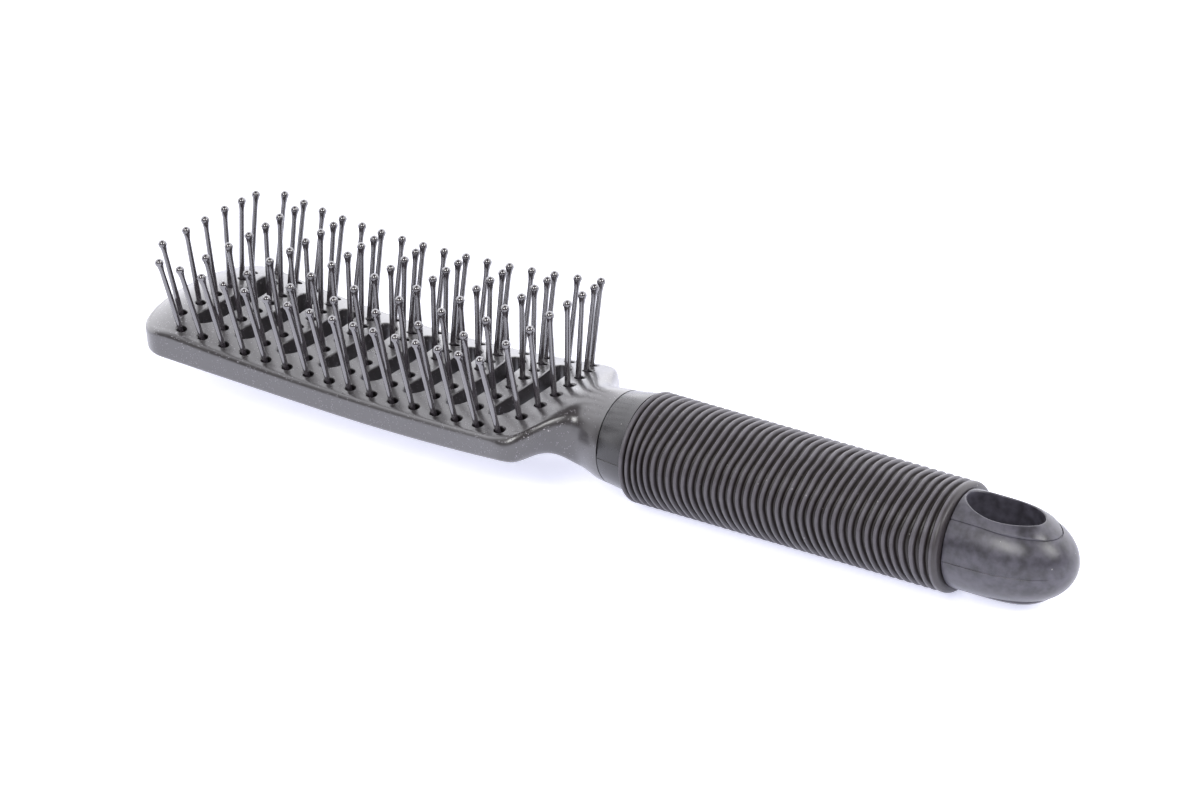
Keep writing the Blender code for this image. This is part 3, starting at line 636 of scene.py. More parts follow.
def tang_ring(x, half_width, half_height):
    """A section of the tang, with its points where the neck's points stand."""
    half = []
    for place in half_places():
        turn = math.pi / 2 - math.pi * place / LAST_PLACE
        half.append(Vector((x, half_width * math.cos(turn), COLLAR_RISE + half_height * math.sin(turn))))
    return mirrored_ring(half)


head_rings = [mirrored_ring(head_section(*station))
              for station in outline_stations(NOSE_STEPS, SIDE_STEPS, NECK_STEPS)]
head_rings.append(tang_ring(SEAM, TANG_HALF_WIDTH, TANG_HALF_HEIGHT))
head_rings.append(tang_ring(SEAM + TANG_LENGTH, TANG_HALF_WIDTH - TANG_TAPER, TANG_HALF_HEIGHT - TANG_TAPER))
head = skin_rings("head_moulding", head_rings)


def inner_stations(inset, end_x):
    """Plan points inside the outline, from the nose along the side to an arched end."""
    stations = []
    for x, y, outward in outline_stations(INNER_NOSE_STEPS, INNER_SIDE_STEPS, INNER_STEPS):
        inner_x = x - outward.x * inset
        inner_y = max(y - outward.y * inset, 0.0)
        if inner_x < end_x + column_arch(min(inner_y, OUTER_ROW)):
            stations.append((inner_x, inner_y))
    last_y = stations[-1][1]
    for step in range(INNER_STEPS):
        y = last_y * (1 - step / INNER_STEPS)
        x = end_x + column_arch(min(y, OUTER_ROW))
        if x > stations[-1][0]:
            stations.append((x, y))
    stations.append((end_x + column_arch(0.0), 0.0))
    return stations


def inner_plate(name, inset, low, high, end_x=None):
    """A plate inside the outline, with heights from functions of the plan."""
    if end_x is None:
        end_x = LAST_PIN + COVER_END_MARGIN + (COVER_INSET - inset)
    across_shares = [step / INNER_STEPS * 2 - 1 for step in range(INNER_STEPS + 1)]
    rings = []
    for x, y in inner_stations(inset, end_x):
        lower = [(x, y * share, low(x, y)) for share in across_shares]
        upper = [(x, y * share, high(x, y)) for share in reversed(across_shares)]
        rings.append(lower + upper)
    return skin_rings(name, rings)


def cut_vents(piece):
    """Cut the arched vents through a piece."""
    combine(piece, join_pieces("vent_tools", [vent_tool(column) for column in VENT_COLUMNS]), "DIFFERENCE")


channels = []
for column in STRIP_COLUMNS:
    channels.append(cross_bar("channel", column, STRIP_HALF_LENGTH + GAP, STRIP_WIDTH / 2 + GAP,
                              below_head, plate_under))
for side in (-1, 1):
    channels.append(long_bar("channel", side, BAR_END + GAP, RAIL_WIDTH / 2 + GAP, below_head, plate_under))
pocket_end = -PIN_PITCH - STRIP_WIDTH / 2 - GAP - POCKET_WALL
pin_places = [place for column in STRIP_COLUMNS for place in strip_pins(column)]
pin_places += rail_pins(-1) + rail_pins(1)

combine(head, inner_plate("recess_tool", COVER_INSET, below_head, recess_top), "DIFFERENCE")
combine(head, inner_plate("pocket_tool", POCKET_INSET, below_head, plate_under, pocket_end), "DIFFERENCE")
combine(head, join_pieces("channel_tools", channels), "DIFFERENCE")
cut_vents(head)
combine(head, join_pieces("hole_tools", [hole_tool(x, y) for x, y in pin_places]), "DIFFERENCE")

FLOAT = "NodeSocketFloat"
COLOUR = "NodeSocketColor"
VECTOR = "NodeSocketVector"
GLOSS_PATCH_SCALE = 140.0
GRAIN_SCALE = 3200.0
WAVE_SCALE = 420.0
HEAD_COLOUR = (0.034, 0.031, 0.034)
COVER_COLOUR = (0.046, 0.043, 0.045)
FLAKE_SCALE = 6000.0
FLAKE_COLOUR = (0.22, 0.21, 0.225, 1.0)
FLAKE_GLOSS = 0.38
FLAKE_TILT = 0.7
FLAKE_SHARE = 0.028
FLAKE_PATCHINESS = 0.16
FLAKE_WAVES = 0.004 * MM
PLASTIC_GRAIN = 0.001 * MM


def new_group(name, inputs, outputs):
    """An empty node group with named sockets, its input node and its output node."""
    group = bpy.data.node_groups.new(name, "ShaderNodeTree")
    for label, kind in inputs.items():
        group.interface.new_socket(label, in_out="INPUT", socket_type=kind)
    for label, kind in outputs.items():
        group.interface.new_socket(label, in_out="OUTPUT", socket_type=kind)
    return group, group.nodes.new("NodeGroupInput"), group.nodes.new("NodeGroupOutput")


def use_group(tree, group, **values):
    """A node that uses a group, with values for its inputs."""
    node = tree.nodes.new("ShaderNodeGroup")
    node.node_tree = group
    set_inputs(tree, node, {label.replace("_", " "): value for label, value in values.items()})
    return node


def moulded_skin_group():
    """Satin mould texture: a slow change of gloss, and the height in metres of fine grain on slow waves."""
    group, start, end = new_group(
        "moulded_skin", {"Roughness": FLOAT, "Unevenness": FLOAT, "Grain": FLOAT, "Waves": FLOAT},
        {"Roughness": FLOAT, "Height": FLOAT})
    spot = add_node(group, "ShaderNodeTexCoord").outputs["Object"]
    slow = noise_share(group, spot, GLOSS_PATCH_SCALE, 3.0)
    fine = noise_share(group, spot, GRAIN_SCALE, 2.0)
    waves = noise_share(group, spot, WAVE_SCALE, 2.0)
    centred = calculate(group, "SUBTRACT", slow, 0.5)
    gloss = calculate(group, "MULTIPLY_ADD", centred, start.outputs["Unevenness"], start.outputs["Roughness"])
    wave_height = calculate(group, "MULTIPLY", waves, start.outputs["Waves"])
    height = calculate(group, "MULTIPLY_ADD", fine, start.outputs["Grain"], wave_height)
    set_inputs(group, end, {"Roughness": gloss, "Height": height})
    return group


def silver_flake_group():
    """Fine silver flakes in the plastic: small cells that turn metallic, each with a tilt of its own."""
    group, start, end = new_group(
        "silver_flakes", {"Base Color": COLOUR, "Roughness": FLOAT, "Share": FLOAT},
        {"Base Color": COLOUR, "Metallic": FLOAT, "Roughness": FLOAT, "Normal": VECTOR})
    spot = add_node(group, "ShaderNodeTexCoord").outputs["Object"]
    cells = add_node(group, "ShaderNodeTexVoronoi", {"Vector": spot, "Scale": FLAKE_SCALE})
    parts = add_node(group, "ShaderNodeSeparateColor", {0: cells.outputs["Color"]})
    chosen = calculate(group, "LESS_THAN", parts.outputs[0], start.outputs["Share"])
    tilt = calculate(group, "SUBTRACT", cells.outputs["Color"], (0.5, 0.5, 0.5), kind="ShaderNodeVectorMath")
    tilt_size = calculate(group, "MULTIPLY", chosen, FLAKE_TILT)
    scaled = add_node(group, "ShaderNodeVectorMath", {0: tilt, "Scale": tilt_size}, operation="SCALE")
    shape = add_node(group, "ShaderNodeNewGeometry")
    leaning = calculate(group, "ADD", scaled.outputs[0], shape.outputs["Normal"], kind="ShaderNodeVectorMath")
    set_inputs(group, end, {
        "Base Color": mix(group, chosen, start.outputs["Base Color"], FLAKE_COLOUR),
        "Metallic": chosen,
        "Roughness": mix(group, chosen, start.outputs["Roughness"], FLAKE_GLOSS, "FLOAT"),
        "Normal": calculate(group, "NORMALIZE", leaning, kind="ShaderNodeVectorMath")})
    return group


moulded_skin = moulded_skin_group()
silver_flakes = silver_flake_group()


def new_finish(name, ior=1.5, coat=0.0, coat_roughness=0.1):
    """A new material: its node tree and its Principled shader."""
    made = bpy.data.materials.new(name)
    made.use_nodes = True
    shader = made.node_tree.nodes["Principled BSDF"]
    set_inputs(made.node_tree, shader, {"IOR": ior, "Coat Weight": coat, "Coat Roughness": coat_roughness})
    return made, made.node_tree, shader


def add_grain(tree, shader, skin):
    """Bump from the moulded skin's height, which is in metres."""
    height = skin.outputs["Height"]
    bump = add_node(tree, "ShaderNodeBump", {"Strength": 1.0, "Distance": 1.0, "Height": height})
    set_inputs(tree, shader, {"Normal": bump.outputs[0]})
    return bump


def flake_plastic(name, colour, roughness, coat):
    """Charcoal plastic with silver flakes under a glossy skin."""
    made, tree, shader = new_finish(name, ior=1.8, coat=coat, coat_roughness=0.2)
    skin = use_group(tree, moulded_skin, Roughness=roughness, Unevenness=FLAKE_PATCHINESS,
                     Grain=PLASTIC_GRAIN, Waves=FLAKE_WAVES)
    flakes = use_group(tree, silver_flakes, Base_Color=(*colour, 1.0), Share=FLAKE_SHARE)
    set_inputs(tree, flakes, {"Roughness": skin.outputs["Roughness"]})
    set_inputs(tree, shader, {name: flakes.outputs[name] for name in ("Base Color", "Metallic", "Roughness")})
    bump = add_grain(tree, shader, skin)
    set_inputs(tree, bump, {"Normal": flakes.outputs["Normal"]})
    return made


head_finish = flake_plastic("sparkle_charcoal_plastic", HEAD_COLOUR, roughness=0.3, coat=0.25)
set_down(head, head_finish, "head_shell")

# Pins: nine arched strips of six and two rails of sixteen, injection moulded in glossy nylon.
# Each strip sits in a channel under the plate, and its pins come up through the holes.
# Every pin tapers from a round foot, widens in a short cone and ends in a ball.

PIN_LENGTH = 18.2 * MM
PIN_TOP = 0.55 * MM
PIN_BALL = 0.95 * MM
OUTER_LEAN_SHARE = 0.955
PIN_NECK = 2.5 * MM
CONE_START_SHARE = 0.72
CONE_START_GROWTH = 1.06
CONE_END_DEGREES = -35.0
BALL_STEPS = 8
PIN_ROOT = 1.2 * MM
STRIP_DEPTH = 1.5 * MM
RAIL_DEPTH = 1.5 * MM
PIN_SIDES = 16
PIN_STRAY = 0.03
PIN_STRAY_SCALE = 700.0
PIN_STRAY_SEED = 7
NYLON_COLOUR = (0.046, 0.040, 0.048, 1.0)
DUST_SCALE = 620.0
DUST_SIZE = 0.12
DUST_COLOUR = (0.52, 0.51, 0.50, 1.0)
DUST_ROUGHNESS = 0.95


def pin_profile():
    """Distances along a pin and its radius there: taper, short cone and ball."""
    root = -(PLATE_SKIN + GAP + PIN_ROOT)
    points = [(root, 0.0), (root, PIN_BASE), (0.0, PIN_BASE), (PIN_LENGTH - PIN_NECK, PIN_TOP)]
    points.append((PIN_LENGTH - CONE_START_SHARE * PIN_NECK, PIN_TOP * CONE_START_GROWTH))
    for step in range(BALL_STEPS + 1):
        angle = math.radians(CONE_END_DEGREES + (90.0 - CONE_END_DEGREES) * step / BALL_STEPS)
        points.append((PIN_LENGTH + PIN_BALL * math.sin(angle), PIN_BALL * math.cos(angle)))
    return points


def add_pin(x, y):
    """One pin at its plan point, leaning a hair differently from its neighbours."""
    foot = Vector((x, y, plate_z(x, y)))
    stray = noise.noise_vector(foot * PIN_STRAY_SCALE) * PIN_STRAY
    inner = abs(y) < OUTER_ROW
    lean = pin_lean(y) + Vector((stray.x, stray.y if inner else 0.0, 0.0))
    lean.y *= 1.0 if inner else OUTER_LEAN_SHARE
    lean.normalize()
    side = lean.cross(Vector((1.0, 0.0, 0.0))).normalized()
    front = side.cross(lean)
    rings = []
    for along, radius in pin_profile():
        centre = foot + lean * along
        ring = []
        for step in range(PIN_SIDES):
            turn = 2 * math.pi * step / PIN_SIDES
            ring.append(centre + (front * math.cos(turn) + side * math.sin(turn)) * radius)
        rings.append(ring)
    return skin_rings("pin", rings, ends="open")


def strip_top(x, y):
    """Height of a strip's or rail's upper face, just under the plate."""
    return plate_z(x, y) - PLATE_SKIN - GAP


def strip_low(x, y):
    """Height of a cross strip's lower face."""
    return strip_top(x, y) - STRIP_DEPTH


def rail_low(x, y):
    """Height of a rail's lower face."""
    return strip_top(x, y) - RAIL_DEPTH


def settled_dust_group():
    """Dust of a brush that has been handled: scattered pale specks that dull the surface under them."""
    group, start, end = new_group(
        "settled_dust", {"Base Color": COLOUR, "Roughness": FLOAT, "Share": FLOAT, "Paleness": FLOAT},
        {"Base Color": COLOUR, "Roughness": FLOAT})
    spot = add_node(group, "ShaderNodeTexCoord").outputs["Object"]
    specks = add_node(group, "ShaderNodeTexVoronoi", {"Vector": spot, "Scale": DUST_SCALE})
    parts = add_node(group, "ShaderNodeSeparateColor", {0: specks.outputs["Color"]})
    chosen = calculate(group, "LESS_THAN", parts.outputs[0], start.outputs["Share"])
    size = calculate(group, "MULTIPLY", parts.outputs[1], DUST_SIZE)
    inside = calculate(group, "LESS_THAN", specks.outputs["Distance"], size)
    speck = calculate(group, "MULTIPLY", chosen, inside)
    pale = calculate(group, "MULTIPLY", speck, start.outputs["Paleness"])
    set_inputs(group, end, {
        "Base Color": mix(group, pale, start.outputs["Base Color"], DUST_COLOUR),
        "Roughness": mix(group, pale, start.outputs["Roughness"], DUST_ROUGHNESS, "FLOAT")})
    return group


settled_dust = settled_dust_group()


def moulded_finish(name, ior, **skin_values):
    """A plain moulded finish with its grain, and a dust node whose colour and share are still to be set."""
    made, tree, shader = new_finish(name, ior=ior)
    skin = use_group(tree, moulded_skin, **skin_values)
    dust = use_group(tree, settled_dust)
    set_inputs(tree, dust, {"Roughness": skin.outputs["Roughness"]})
    set_inputs(tree, shader, {name: dust.outputs[name] for name in ("Base Color", "Roughness")})
    add_grain(tree, shader, skin)
    return made, skin, dust


def settle_dust(dust, share, paleness):
    """How much dust lies on a finish, and how pale it is."""
    dust.inputs["Share"].default_value = share
    dust.inputs["Paleness"].default_value = paleness


nylon, _, nylon_dust = moulded_finish(
    "pin_nylon_gloss", ior=2.25, Roughness=0.07, Unevenness=0.04, Grain=PLASTIC_GRAIN, Waves=0.0)
nylon_dust.inputs["Base Color"].default_value = NYLON_COLOUR
settle_dust(nylon_dust, share=0.05, paleness=0.4)
noise.seed_set(PIN_STRAY_SEED)
for number, column in enumerate(STRIP_COLUMNS, start=1):
    bar = cross_bar("bar", column, STRIP_HALF_LENGTH, STRIP_WIDTH / 2, strip_low, strip_top)
    strip = join_pieces(f"pins_of_strip_{number}", [bar] + [add_pin(x, y) for x, y in strip_pins(column)])
    set_down(strip, nylon, f"pin_strip_{number}")
for side, place in ((-1, "front"), (1, "rear")):
    bar = long_bar("bar", side, BAR_END, RAIL_WIDTH / 2, rail_low, strip_top)
    rail = join_pieces(f"pins_of_{place}_rail", [bar] + [add_pin(x, y) for x, y in rail_pins(side)])
    set_down(rail, nylon, f"pin_rail_{place}")

# Back cover: a thin vented plate of charcoal plastic that closes the head from behind.
# It is pressed into the recess under the head, and holds the pin strips in their channels.


def cover_low(x, y):
    """Height of the cover's outer face."""
    return back_z(x)


def cover_high(x, y):
    """Height of the cover's inner face."""
    return back_z(x) + COVER_THICKNESS


cover = inner_plate("back_cover_plate", COVER_INSET + GAP, cover_low, cover_high)
cut_vents(cover)
cover_finish = flake_plastic("cover_charcoal_plastic", COVER_COLOUR, roughness=0.3, coat=0.2)
set_down(cover, cover_finish, "back_cover")

# Handle: a smooth black collar, a core inside the sleeve and the hanging end, moulded in one satin plastic.
# A raised land with a fine crease surrounds the oval eye, and the mould's parting line runs along the sides.
# The collar is glossy, and the end is duller from handling. The end's paler, bluish tone is partly handling
# haze and partly painted reflection of the table's light, which also lifts the eye's inner wall.

COLLAR_LENGTH = 6.8 * MM
SLEEVE_FRONT = SEAM + COLLAR_LENGTH
SLEEVE_LIP = 1.0 * MM
RIB_PITCH = 1.81 * MM
RIB_COUNT = 39
CUFF_START = SLEEVE_FRONT + SLEEVE_LIP + RIB_PITCH * (RIB_COUNT - 0.5)
CUFF_LENGTH = 1.3 * MM
SLEEVE_END = CUFF_START + CUFF_LENGTH
END_START = SLEEVE_END + GAP
END_STRAIGHT = 1.0 * MM
NOSE_START = END_START + END_STRAIGHT
END_NOSE = 22.1 * MM
HANDLE_END = NOSE_START + END_NOSE
AXIS_DROP = 0.85 * MM
END_HALF_WIDTH = 9.9 * MM
END_HALF_HEIGHT = 9.6 * MM
END_EXPONENT = 3.2
EYE_HALF_LENGTH = 8.0 * MM
EYE_HALF_WIDTH = 4.5 * MM
EYE_SETBACK = 0.3 * MM
EYE_CENTRE = END_START + EYE_SETBACK + EYE_HALF_LENGTH
EYE_RIM = 0.45 * MM
LAND_HALF_WIDTH = 9.2 * MM
LAND_HALF_HEIGHT = 10.05 * MM
LAND_NOSE = 20.2 * MM
LAND_EXPONENT = 4.6
LAND_LENGTH_MARGIN = 3.5 * MM
LAND_WIDTH_MARGIN = 1.85 * MM
HANDLE_SIDES = 96
END_STEPS = 40
EYE_SIDES = 96
EYE_RIM_STEPS = 6
EYE_PRISM_SIDES = 64
DRAFT = 2.0 * MM
PARTING_DEPTH = 0.12 * MM
PARTING_DEGREES = 0.7
CREASE_WIDTH = 0.26 * MM
CREASE_DEPTH = 0.16 * MM
SEAM_GAP = 0.12 * MM
SEAM_ROUND = 0.15 * MM
SEAM_EDGE = 0.05 * MM
COLLAR_END_HALF_WIDTH = 11.0 * MM
COLLAR_END_HALF_HEIGHT = 10.7 * MM
CORE_HALF_WIDTH = 9.2 * MM
CORE_HALF_HEIGHT = 8.5 * MM
SCUFF_AND_SHEEN_START = 20.0 * MM
SCUFF_AND_SHEEN_END = 80.0 * MM
COLLAR_BLACK = (0.014, 0.013, 0.015, 1.0)
SCUFF_AND_SHEEN_BLACK = (0.078, 0.074, 0.097, 1.0)
COLLAR_GLOSS = 0.27
SCUFFED_GLOSS = 0.38
HAZE_SCALE = 450.0
HAZE_LIMITS = (0.35, 0.65)
LEAST_HAZE = 0.3
HANDLE_WAVES = 0.010 * MM


def axis_z(x):
    """Height of the handle's axis, which drops evenly from the sleeve's front to the hanging end."""
    return -AXIS_DROP * max(x - SLEEVE_FRONT, 0.0) / (HANDLE_END - SLEEVE_FRONT)


def moulded_oval(x, half_width, half_height, centre_z):
    """An oval with a fine parting line at mid height, above which the mould's draft makes it lean in."""
    count = HANDLE_SIDES // 2
    line_turn = math.radians(PARTING_DEGREES)
    turns = [-line_turn, 0.0, line_turn] + [math.pi * step / count for step in range(1, count)]
    turns += [math.pi + turn for turn in turns]
    size = min(half_width / END_HALF_WIDTH, 1.0)
    ring = []
    for turn in turns:
        across, up = math.cos(turn), math.sin(turn)
        lean = DRAFT * max(up, 0.0) * (1 - abs(up)) ** 3
        lean += PARTING_DEPTH * (abs(up) < 0.1 * line_turn)
        y = half_width * across - math.copysign(lean * size, across)
        ring.append((x, y, centre_z + half_height * up))
    return ring


def end_rings(half_width, half_height, nose, exponent):
    """Sections of a form that runs from the cuff to a rounded nose."""
    rings = [moulded_oval(END_START, half_width, half_height, axis_z(END_START))]
    for step in range(END_STEPS + 1):
        reach = math.sin(math.pi / 2 * step / END_STEPS)
        x = NOSE_START + nose * reach
        share = math.sqrt(max(1 - reach ** exponent, 0.0))
        rings.append(moulded_oval(x, half_width * share, half_height * share, axis_z(x)))
    return rings


def eye_prism(length_margin, width_margin, low, high, back_x=None):
    """An upright oval prism round the eye, drawn straight back to back_x if that is given."""
    outline = []
    for step in range(EYE_PRISM_SIDES):
        angle = 2 * math.pi * step / EYE_PRISM_SIDES
        x = EYE_CENTRE + (EYE_HALF_LENGTH + length_margin) * math.cos(angle)
        outline.append((x, (EYE_HALF_WIDTH + width_margin) * math.sin(angle)))
    if back_x is not None:
        outline = [point for point in outline if point[0] > EYE_CENTRE - MERGE_DISTANCE]
        outline.sort(key=lambda point: math.atan2(point[1], point[0] - EYE_CENTRE))
        outline = [(back_x, outline[0][1])] + outline + [(back_x, outline[-1][1])]
    return skin_rings("eye_tool", [[(x, y, z) for x, y in outline] for z in (low, high)])


def land_height(x, y):
    """How far the land's surface lies from the axis at a plan point."""
    reach = min(max((x - NOSE_START) / LAND_NOSE, 0.0), 0.999)
    share = math.sqrt(1 - reach ** LAND_EXPONENT)
    return LAND_HALF_HEIGHT * share * math.sqrt(max(1 - (y / (LAND_HALF_WIDTH * share)) ** 2, 0.0))


def eye_cutter():
    """A cutter for the eye that flares at both ends, so that the rims come out rounded."""
    curve = rim_curve(EYE_RIM, EYE_RIM_STEPS) + [(OVERRUN, EYE_RIM + OVERRUN), (None, EYE_RIM + OVERRUN)]
    levels = [(-1, rise, growth) for rise, growth in reversed(curve)]
    levels += [(1, rise, growth) for rise, growth in curve]
    rings = []
    for side, rise, growth in levels:
        ring = []
        for step in range(EYE_SIDES):
            angle = 2 * math.pi * step / EYE_SIDES
            x = EYE_CENTRE + (EYE_HALF_LENGTH + growth) * math.cos(angle)
            y = (EYE_HALF_WIDTH + growth) * math.sin(angle)
            height = LAND_HALF_HEIGHT + 2 * OVERRUN if rise is None else land_height(x, y) + rise
            ring.append((x, y, axis_z(x) + side * height))
        rings.append(ring)
    return skin_rings("eye_cutter", rings)


def crease_cutter(low, high):
    """A thin groove that follows the land's outline, no deeper than the crease."""
    half = CREASE_WIDTH / 2
    wall = eye_prism(LAND_LENGTH_MARGIN + half, LAND_WIDTH_MARGIN + half, low, high, END_START - OVERRUN)
    inner = eye_prism(LAND_LENGTH_MARGIN - half, LAND_WIDTH_MARGIN - half, low, high, END_START - 2 * OVERRUN)
    combine(wall, inner, "DIFFERENCE")
    keep = skin_rings("keep", end_rings(END_HALF_WIDTH - CREASE_DEPTH, END_HALF_HEIGHT - CREASE_DEPTH,
                                        END_NOSE - CREASE_DEPTH, END_EXPONENT))
    combine(wall, keep, "DIFFERENCE")
    return wall


def scuff_and_sheen_end(tree, skin, dust):
    """Let the finish go from a deep, glossy black at the collar to a paler, duller one at the hanging end.
    The end is duller from handling, and its paler, bluish tone is partly handling haze and partly painted
    reflection of the table's light.
    """
    spot = add_node(tree, "ShaderNodeTexCoord").outputs["Object"]
    along = add_node(tree, "ShaderNodeSeparateXYZ", {0: spot}).outputs["X"]
    share = map_range(tree, along, SCUFF_AND_SHEEN_START, SCUFF_AND_SHEEN_END)
    haze = map_range(tree, noise_share(tree, spot, HAZE_SCALE, 6.0), *HAZE_LIMITS, first=LEAST_HAZE)
    scuff_and_sheen_share = calculate(tree, "MULTIPLY", share, haze)
    # Painted reflection: the end's paler, bluish colour stands partly for the table's light, and is partly
    # handling haze.
    set_inputs(tree, dust, {"Base Color": mix(tree, scuff_and_sheen_share, COLLAR_BLACK, SCUFF_AND_SHEEN_BLACK)})
    set_inputs(tree, skin, {"Roughness": mix(tree, scuff_and_sheen_share, COLLAR_GLOSS, SCUFFED_GLOSS, "FLOAT")})


front = SEAM + SEAM_GAP
collar_end = SLEEVE_FRONT - GAP
handle_rings = [
    moulded_oval(front, SEAM_HALF_WIDTH - SEAM_ROUND, SEAM_HALF_HEIGHT - SEAM_ROUND, COLLAR_RISE),
    moulded_oval(front + SEAM_EDGE, SEAM_HALF_WIDTH - SEAM_EDGE, SEAM_HALF_HEIGHT - SEAM_EDGE, COLLAR_RISE),
    moulded_oval(front + SEAM_ROUND, SEAM_HALF_WIDTH, SEAM_HALF_HEIGHT, COLLAR_RISE),
    moulded_oval(collar_end, COLLAR_END_HALF_WIDTH, COLLAR_END_HALF_HEIGHT, COLLAR_RISE),
    moulded_oval(collar_end, CORE_HALF_WIDTH, CORE_HALF_HEIGHT, axis_z(collar_end)),
    moulded_oval(END_START, CORE_HALF_WIDTH, CORE_HALF_HEIGHT, axis_z(END_START)),
]
end_form = end_rings(END_HALF_WIDTH, END_HALF_HEIGHT, END_NOSE, END_EXPONENT)
handle = skin_rings("handle_moulding", handle_rings + end_form)
land = skin_rings("land", end_rings(LAND_HALF_WIDTH, LAND_HALF_HEIGHT, LAND_NOSE, LAND_EXPONENT))
low = axis_z(EYE_CENTRE) - (LAND_HALF_HEIGHT + OVERRUN)
high = axis_z(EYE_CENTRE) + (LAND_HALF_HEIGHT + OVERRUN)
combine(land, eye_prism(LAND_LENGTH_MARGIN, LAND_WIDTH_MARGIN, low, high, END_START - OVERRUN), "INTERSECT")
combine(handle, land, "UNION")
combine(handle, crease_cutter(low, high), "DIFFERENCE")
combine(handle, eye_cutter(), "DIFFERENCE")
handle_finish, handle_skin, handle_dust = moulded_finish(
    "handle_black_satin", ior=1.55, Unevenness=0.2, Grain=PLASTIC_GRAIN, Waves=HANDLE_WAVES)
settle_dust(handle_dust, share=0.30, paleness=0.4)
scuff_and_sheen_end(handle_finish.node_tree, handle_skin, handle_dust)
set_down(handle, handle_finish, "handle_body")

# Grip sleeve: soft black rubber with thirty-nine rings, a thin front lip and a plain cuff.
# It is pulled over the handle's core, and the rings bow towards the head at the sides.
# The crests are painted paler and the grooves darker, as painted light on the ribs and painted shade between
# them, and dust lies on them.

SLEEVE_HALF_WIDTH = 12.3 * MM
SLEEVE_HALF_HEIGHT = 11.5 * MM
SLEEVE_MIDDLE_RADIUS = 11.9 * MM
BORE_HALF_WIDTH = 9.5 * MM
BORE_HALF_HEIGHT = 8.8 * MM
LIP_PLACES = (0.0, 0.06 * MM, 0.2 * MM, 0.4 * MM, 0.6 * MM, 0.75 * MM)
LIP_DEPTHS = (0.45 * MM, 0.2 * MM, 0.05 * MM, 0.0, 0.04 * MM, 0.2 * MM)
RIB_DEPTH = 1.1 * MM
RIB_STEPS = 16
WAVE_SHARE = 0.2
GROOVE_SHARE = 0.28
CREST_SHARE = 0.8
RIB_WOBBLE = 0.2 * MM
WOBBLE_TURNS = 2.2
WOBBLE_LENGTH = 14 * MM
SIDE_BOW = 1.2 * MM
SIDE_BOW_PLACE = 12.0
SIDE_BOW_SPREAD = 30.0
TOP_BOW = 0.3 * MM
TOP_BOW_PLACE = 72.0
TOP_BOW_SPREAD = 16.0
BOW_RIBS = 4
CUFF_ROUND = 0.9 * MM
CUFF_STEPS = 6
CUFF_TONE = 0.5
SLEEVE_SIDES = 120
GROOVE_SHADE_BLACK = (0.013, 0.009, 0.008, 1.0)
CREST_LIGHT_GREY = (0.100, 0.092, 0.108, 1.0)
RUBBER_GRAIN = 0.004 * MM
CREST_LIMITS = (0.25, 0.85)
CREST_LIGHT_PATCH_SCALE = 420.0
CREST_LIGHT_PATCH_LIMITS = (0.25, 0.7)
LEAST_CREST_LIGHT_PATCH = 0.55


def oval(x, half_width, half_height, centre_z):
    """A plain oval section of the sleeve."""
    ring = []
    for step in range(SLEEVE_SIDES):
        angle = 2 * math.pi * step / SLEEVE_SIDES
        ring.append((x, half_width * math.cos(angle), centre_z + half_height * math.sin(angle)))
    return ring


def sleeve_depths():
    """Places along the sleeve, each with its depth below the crests and its share of the bow."""
    places = [(along, depth, 0.0) for along, depth in zip(LIP_PLACES, LIP_DEPTHS)]
    for rib in range(RIB_COUNT):
        for step in range(RIB_STEPS):
            share = step / RIB_STEPS
            wave = 0.5 - 0.5 * math.cos(2 * math.pi * share)
            crest = ramp((wave - GROOVE_SHARE) / (CREST_SHARE - GROOVE_SHARE))
            height = (1 - WAVE_SHARE) * crest + WAVE_SHARE * wave
            along = SLEEVE_LIP + RIB_PITCH * (rib + share)
            ends = min(along - SLEEVE_LIP, CUFF_START - SLEEVE_FRONT - along) / RIB_PITCH
            places.append((along, RIB_DEPTH * (1 - height), ramp(ends / BOW_RIBS)))
    length = SLEEVE_END - SLEEVE_FRONT
    places = [place for place in places if place[0] < CUFF_START - SLEEVE_FRONT]
    for step in range(CUFF_STEPS + 1):
        angle = math.pi / 2 * step / CUFF_STEPS
        places.append((length - CUFF_ROUND * (1 - math.sin(angle)), CUFF_ROUND * (1 - math.cos(angle)), 0.0))
    return places


def bow(up):
    """How far a rib runs off its flat ring: towards the head at the sides, a little back near the top."""
    turn = math.degrees(math.asin(min(max(up, -1.0), 1.0)))
    side = math.exp(-((turn - SIDE_BOW_PLACE) / SIDE_BOW_SPREAD) ** 2)
    top = math.exp(-((turn - TOP_BOW_PLACE) / TOP_BOW_SPREAD) ** 2)
    return TOP_BOW * top - SIDE_BOW * side


def sleeve_ring(along, depth, share):
    """A section of the sleeve, whose ribs bow at the sides and waver a little along the grip."""
    x = SLEEVE_FRONT + along
    taper = axis_z(x)
    ring = []
    for _, across, up in oval(0.0, 1.0, 1.0, 0.0):
        spot = Vector((across * WOBBLE_TURNS, up * WOBBLE_TURNS, along / WOBBLE_LENGTH))
        shift = share * (bow(up) + RIB_WOBBLE * noise.noise(spot))
        y = across * (SLEEVE_HALF_WIDTH + taper - depth)
        z = taper + up * (SLEEVE_HALF_HEIGHT + taper - depth)
        ring.append((x + shift, y, z))
    return ring


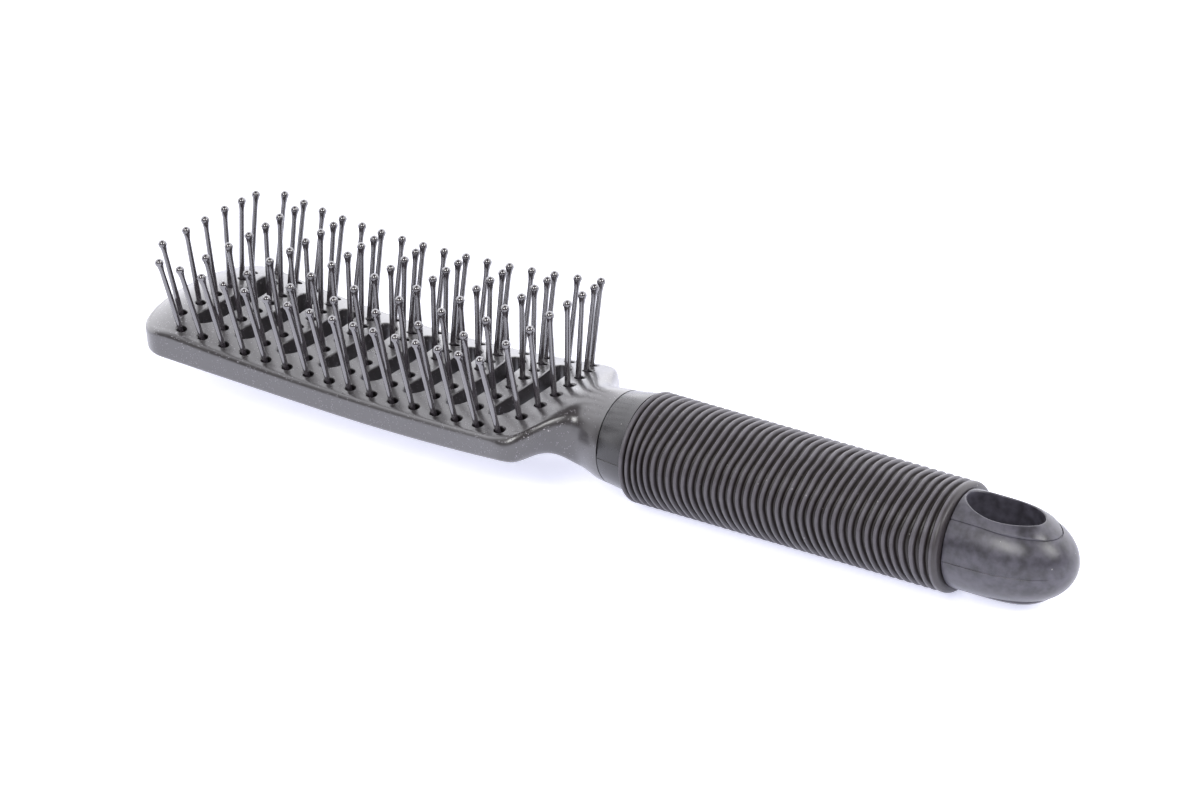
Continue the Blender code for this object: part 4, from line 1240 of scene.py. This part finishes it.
def mark_rib_heights(piece):
    """Lay a UV map over the sleeve: across it runs the height between groove and crest, up it the turn."""
    layer = piece.data.uv_layers.new(name="rib_height")
    for loop in piece.data.loops:
        point = piece.data.vertices[loop.vertex_index].co
        taper = axis_z(point.x)
        across = point.y / (SLEEVE_HALF_WIDTH + taper)
        up = (point.z - taper) / (SLEEVE_HALF_HEIGHT + taper)
        rib_height = 1 - (1 - math.hypot(across, up)) * SLEEVE_MIDDLE_RADIUS / RIB_DEPTH
        height = rib_height if point.x < CUFF_START else CUFF_TONE
        turn = math.atan2(point.z - taper, point.y) / (2 * math.pi) + 0.5
        layer.data[loop.index].uv = (min(max(height, 0.0), 1.0), turn)


sleeve_rings = [sleeve_ring(*place) for place in sleeve_depths()]
for x in (SLEEVE_END, SLEEVE_FRONT):
    sleeve_rings.append(oval(x, BORE_HALF_WIDTH, BORE_HALF_HEIGHT, axis_z(x)))
sleeve = skin_rings("ribbed_sleeve", sleeve_rings, ends="joined")
mark_rib_heights(sleeve)

rubber, _, rubber_dust = moulded_finish(
    "grip_rubber_black", ior=1.5, Roughness=0.42, Unevenness=0.25, Grain=RUBBER_GRAIN, Waves=0.0)
settle_dust(rubber_dust, share=0.4, paleness=0.4)
rubber_tree = rubber.node_tree
rubber_place = add_node(rubber_tree, "ShaderNodeTexCoord")
height_map = add_node(rubber_tree, "ShaderNodeSeparateXYZ", {0: rubber_place.outputs["UV"]}).outputs["X"]
# Painted light and shade: paler grey on the crests and near black in the grooves, in random patches.
crest_share = map_range(rubber_tree, height_map, *CREST_LIMITS, step="SMOOTHSTEP")
crest_light_patches = noise_share(rubber_tree, rubber_place.outputs["Object"], CREST_LIGHT_PATCH_SCALE, 4.0)
crest_light_patches = map_range(rubber_tree, crest_light_patches, *CREST_LIGHT_PATCH_LIMITS, first=LEAST_CREST_LIGHT_PATCH)
crest_light_share = calculate(rubber_tree, "MULTIPLY", crest_share, crest_light_patches)
set_inputs(rubber_tree, rubber_dust, {"Base Color": mix(rubber_tree, crest_light_share, GROOVE_SHADE_BLACK, CREST_LIGHT_GREY)})
set_down(sleeve, rubber, "grip_sleeve", angle=60.0)

# Colours are shown as they are written.

bpy.context.scene.view_settings.view_transform = "Standard"
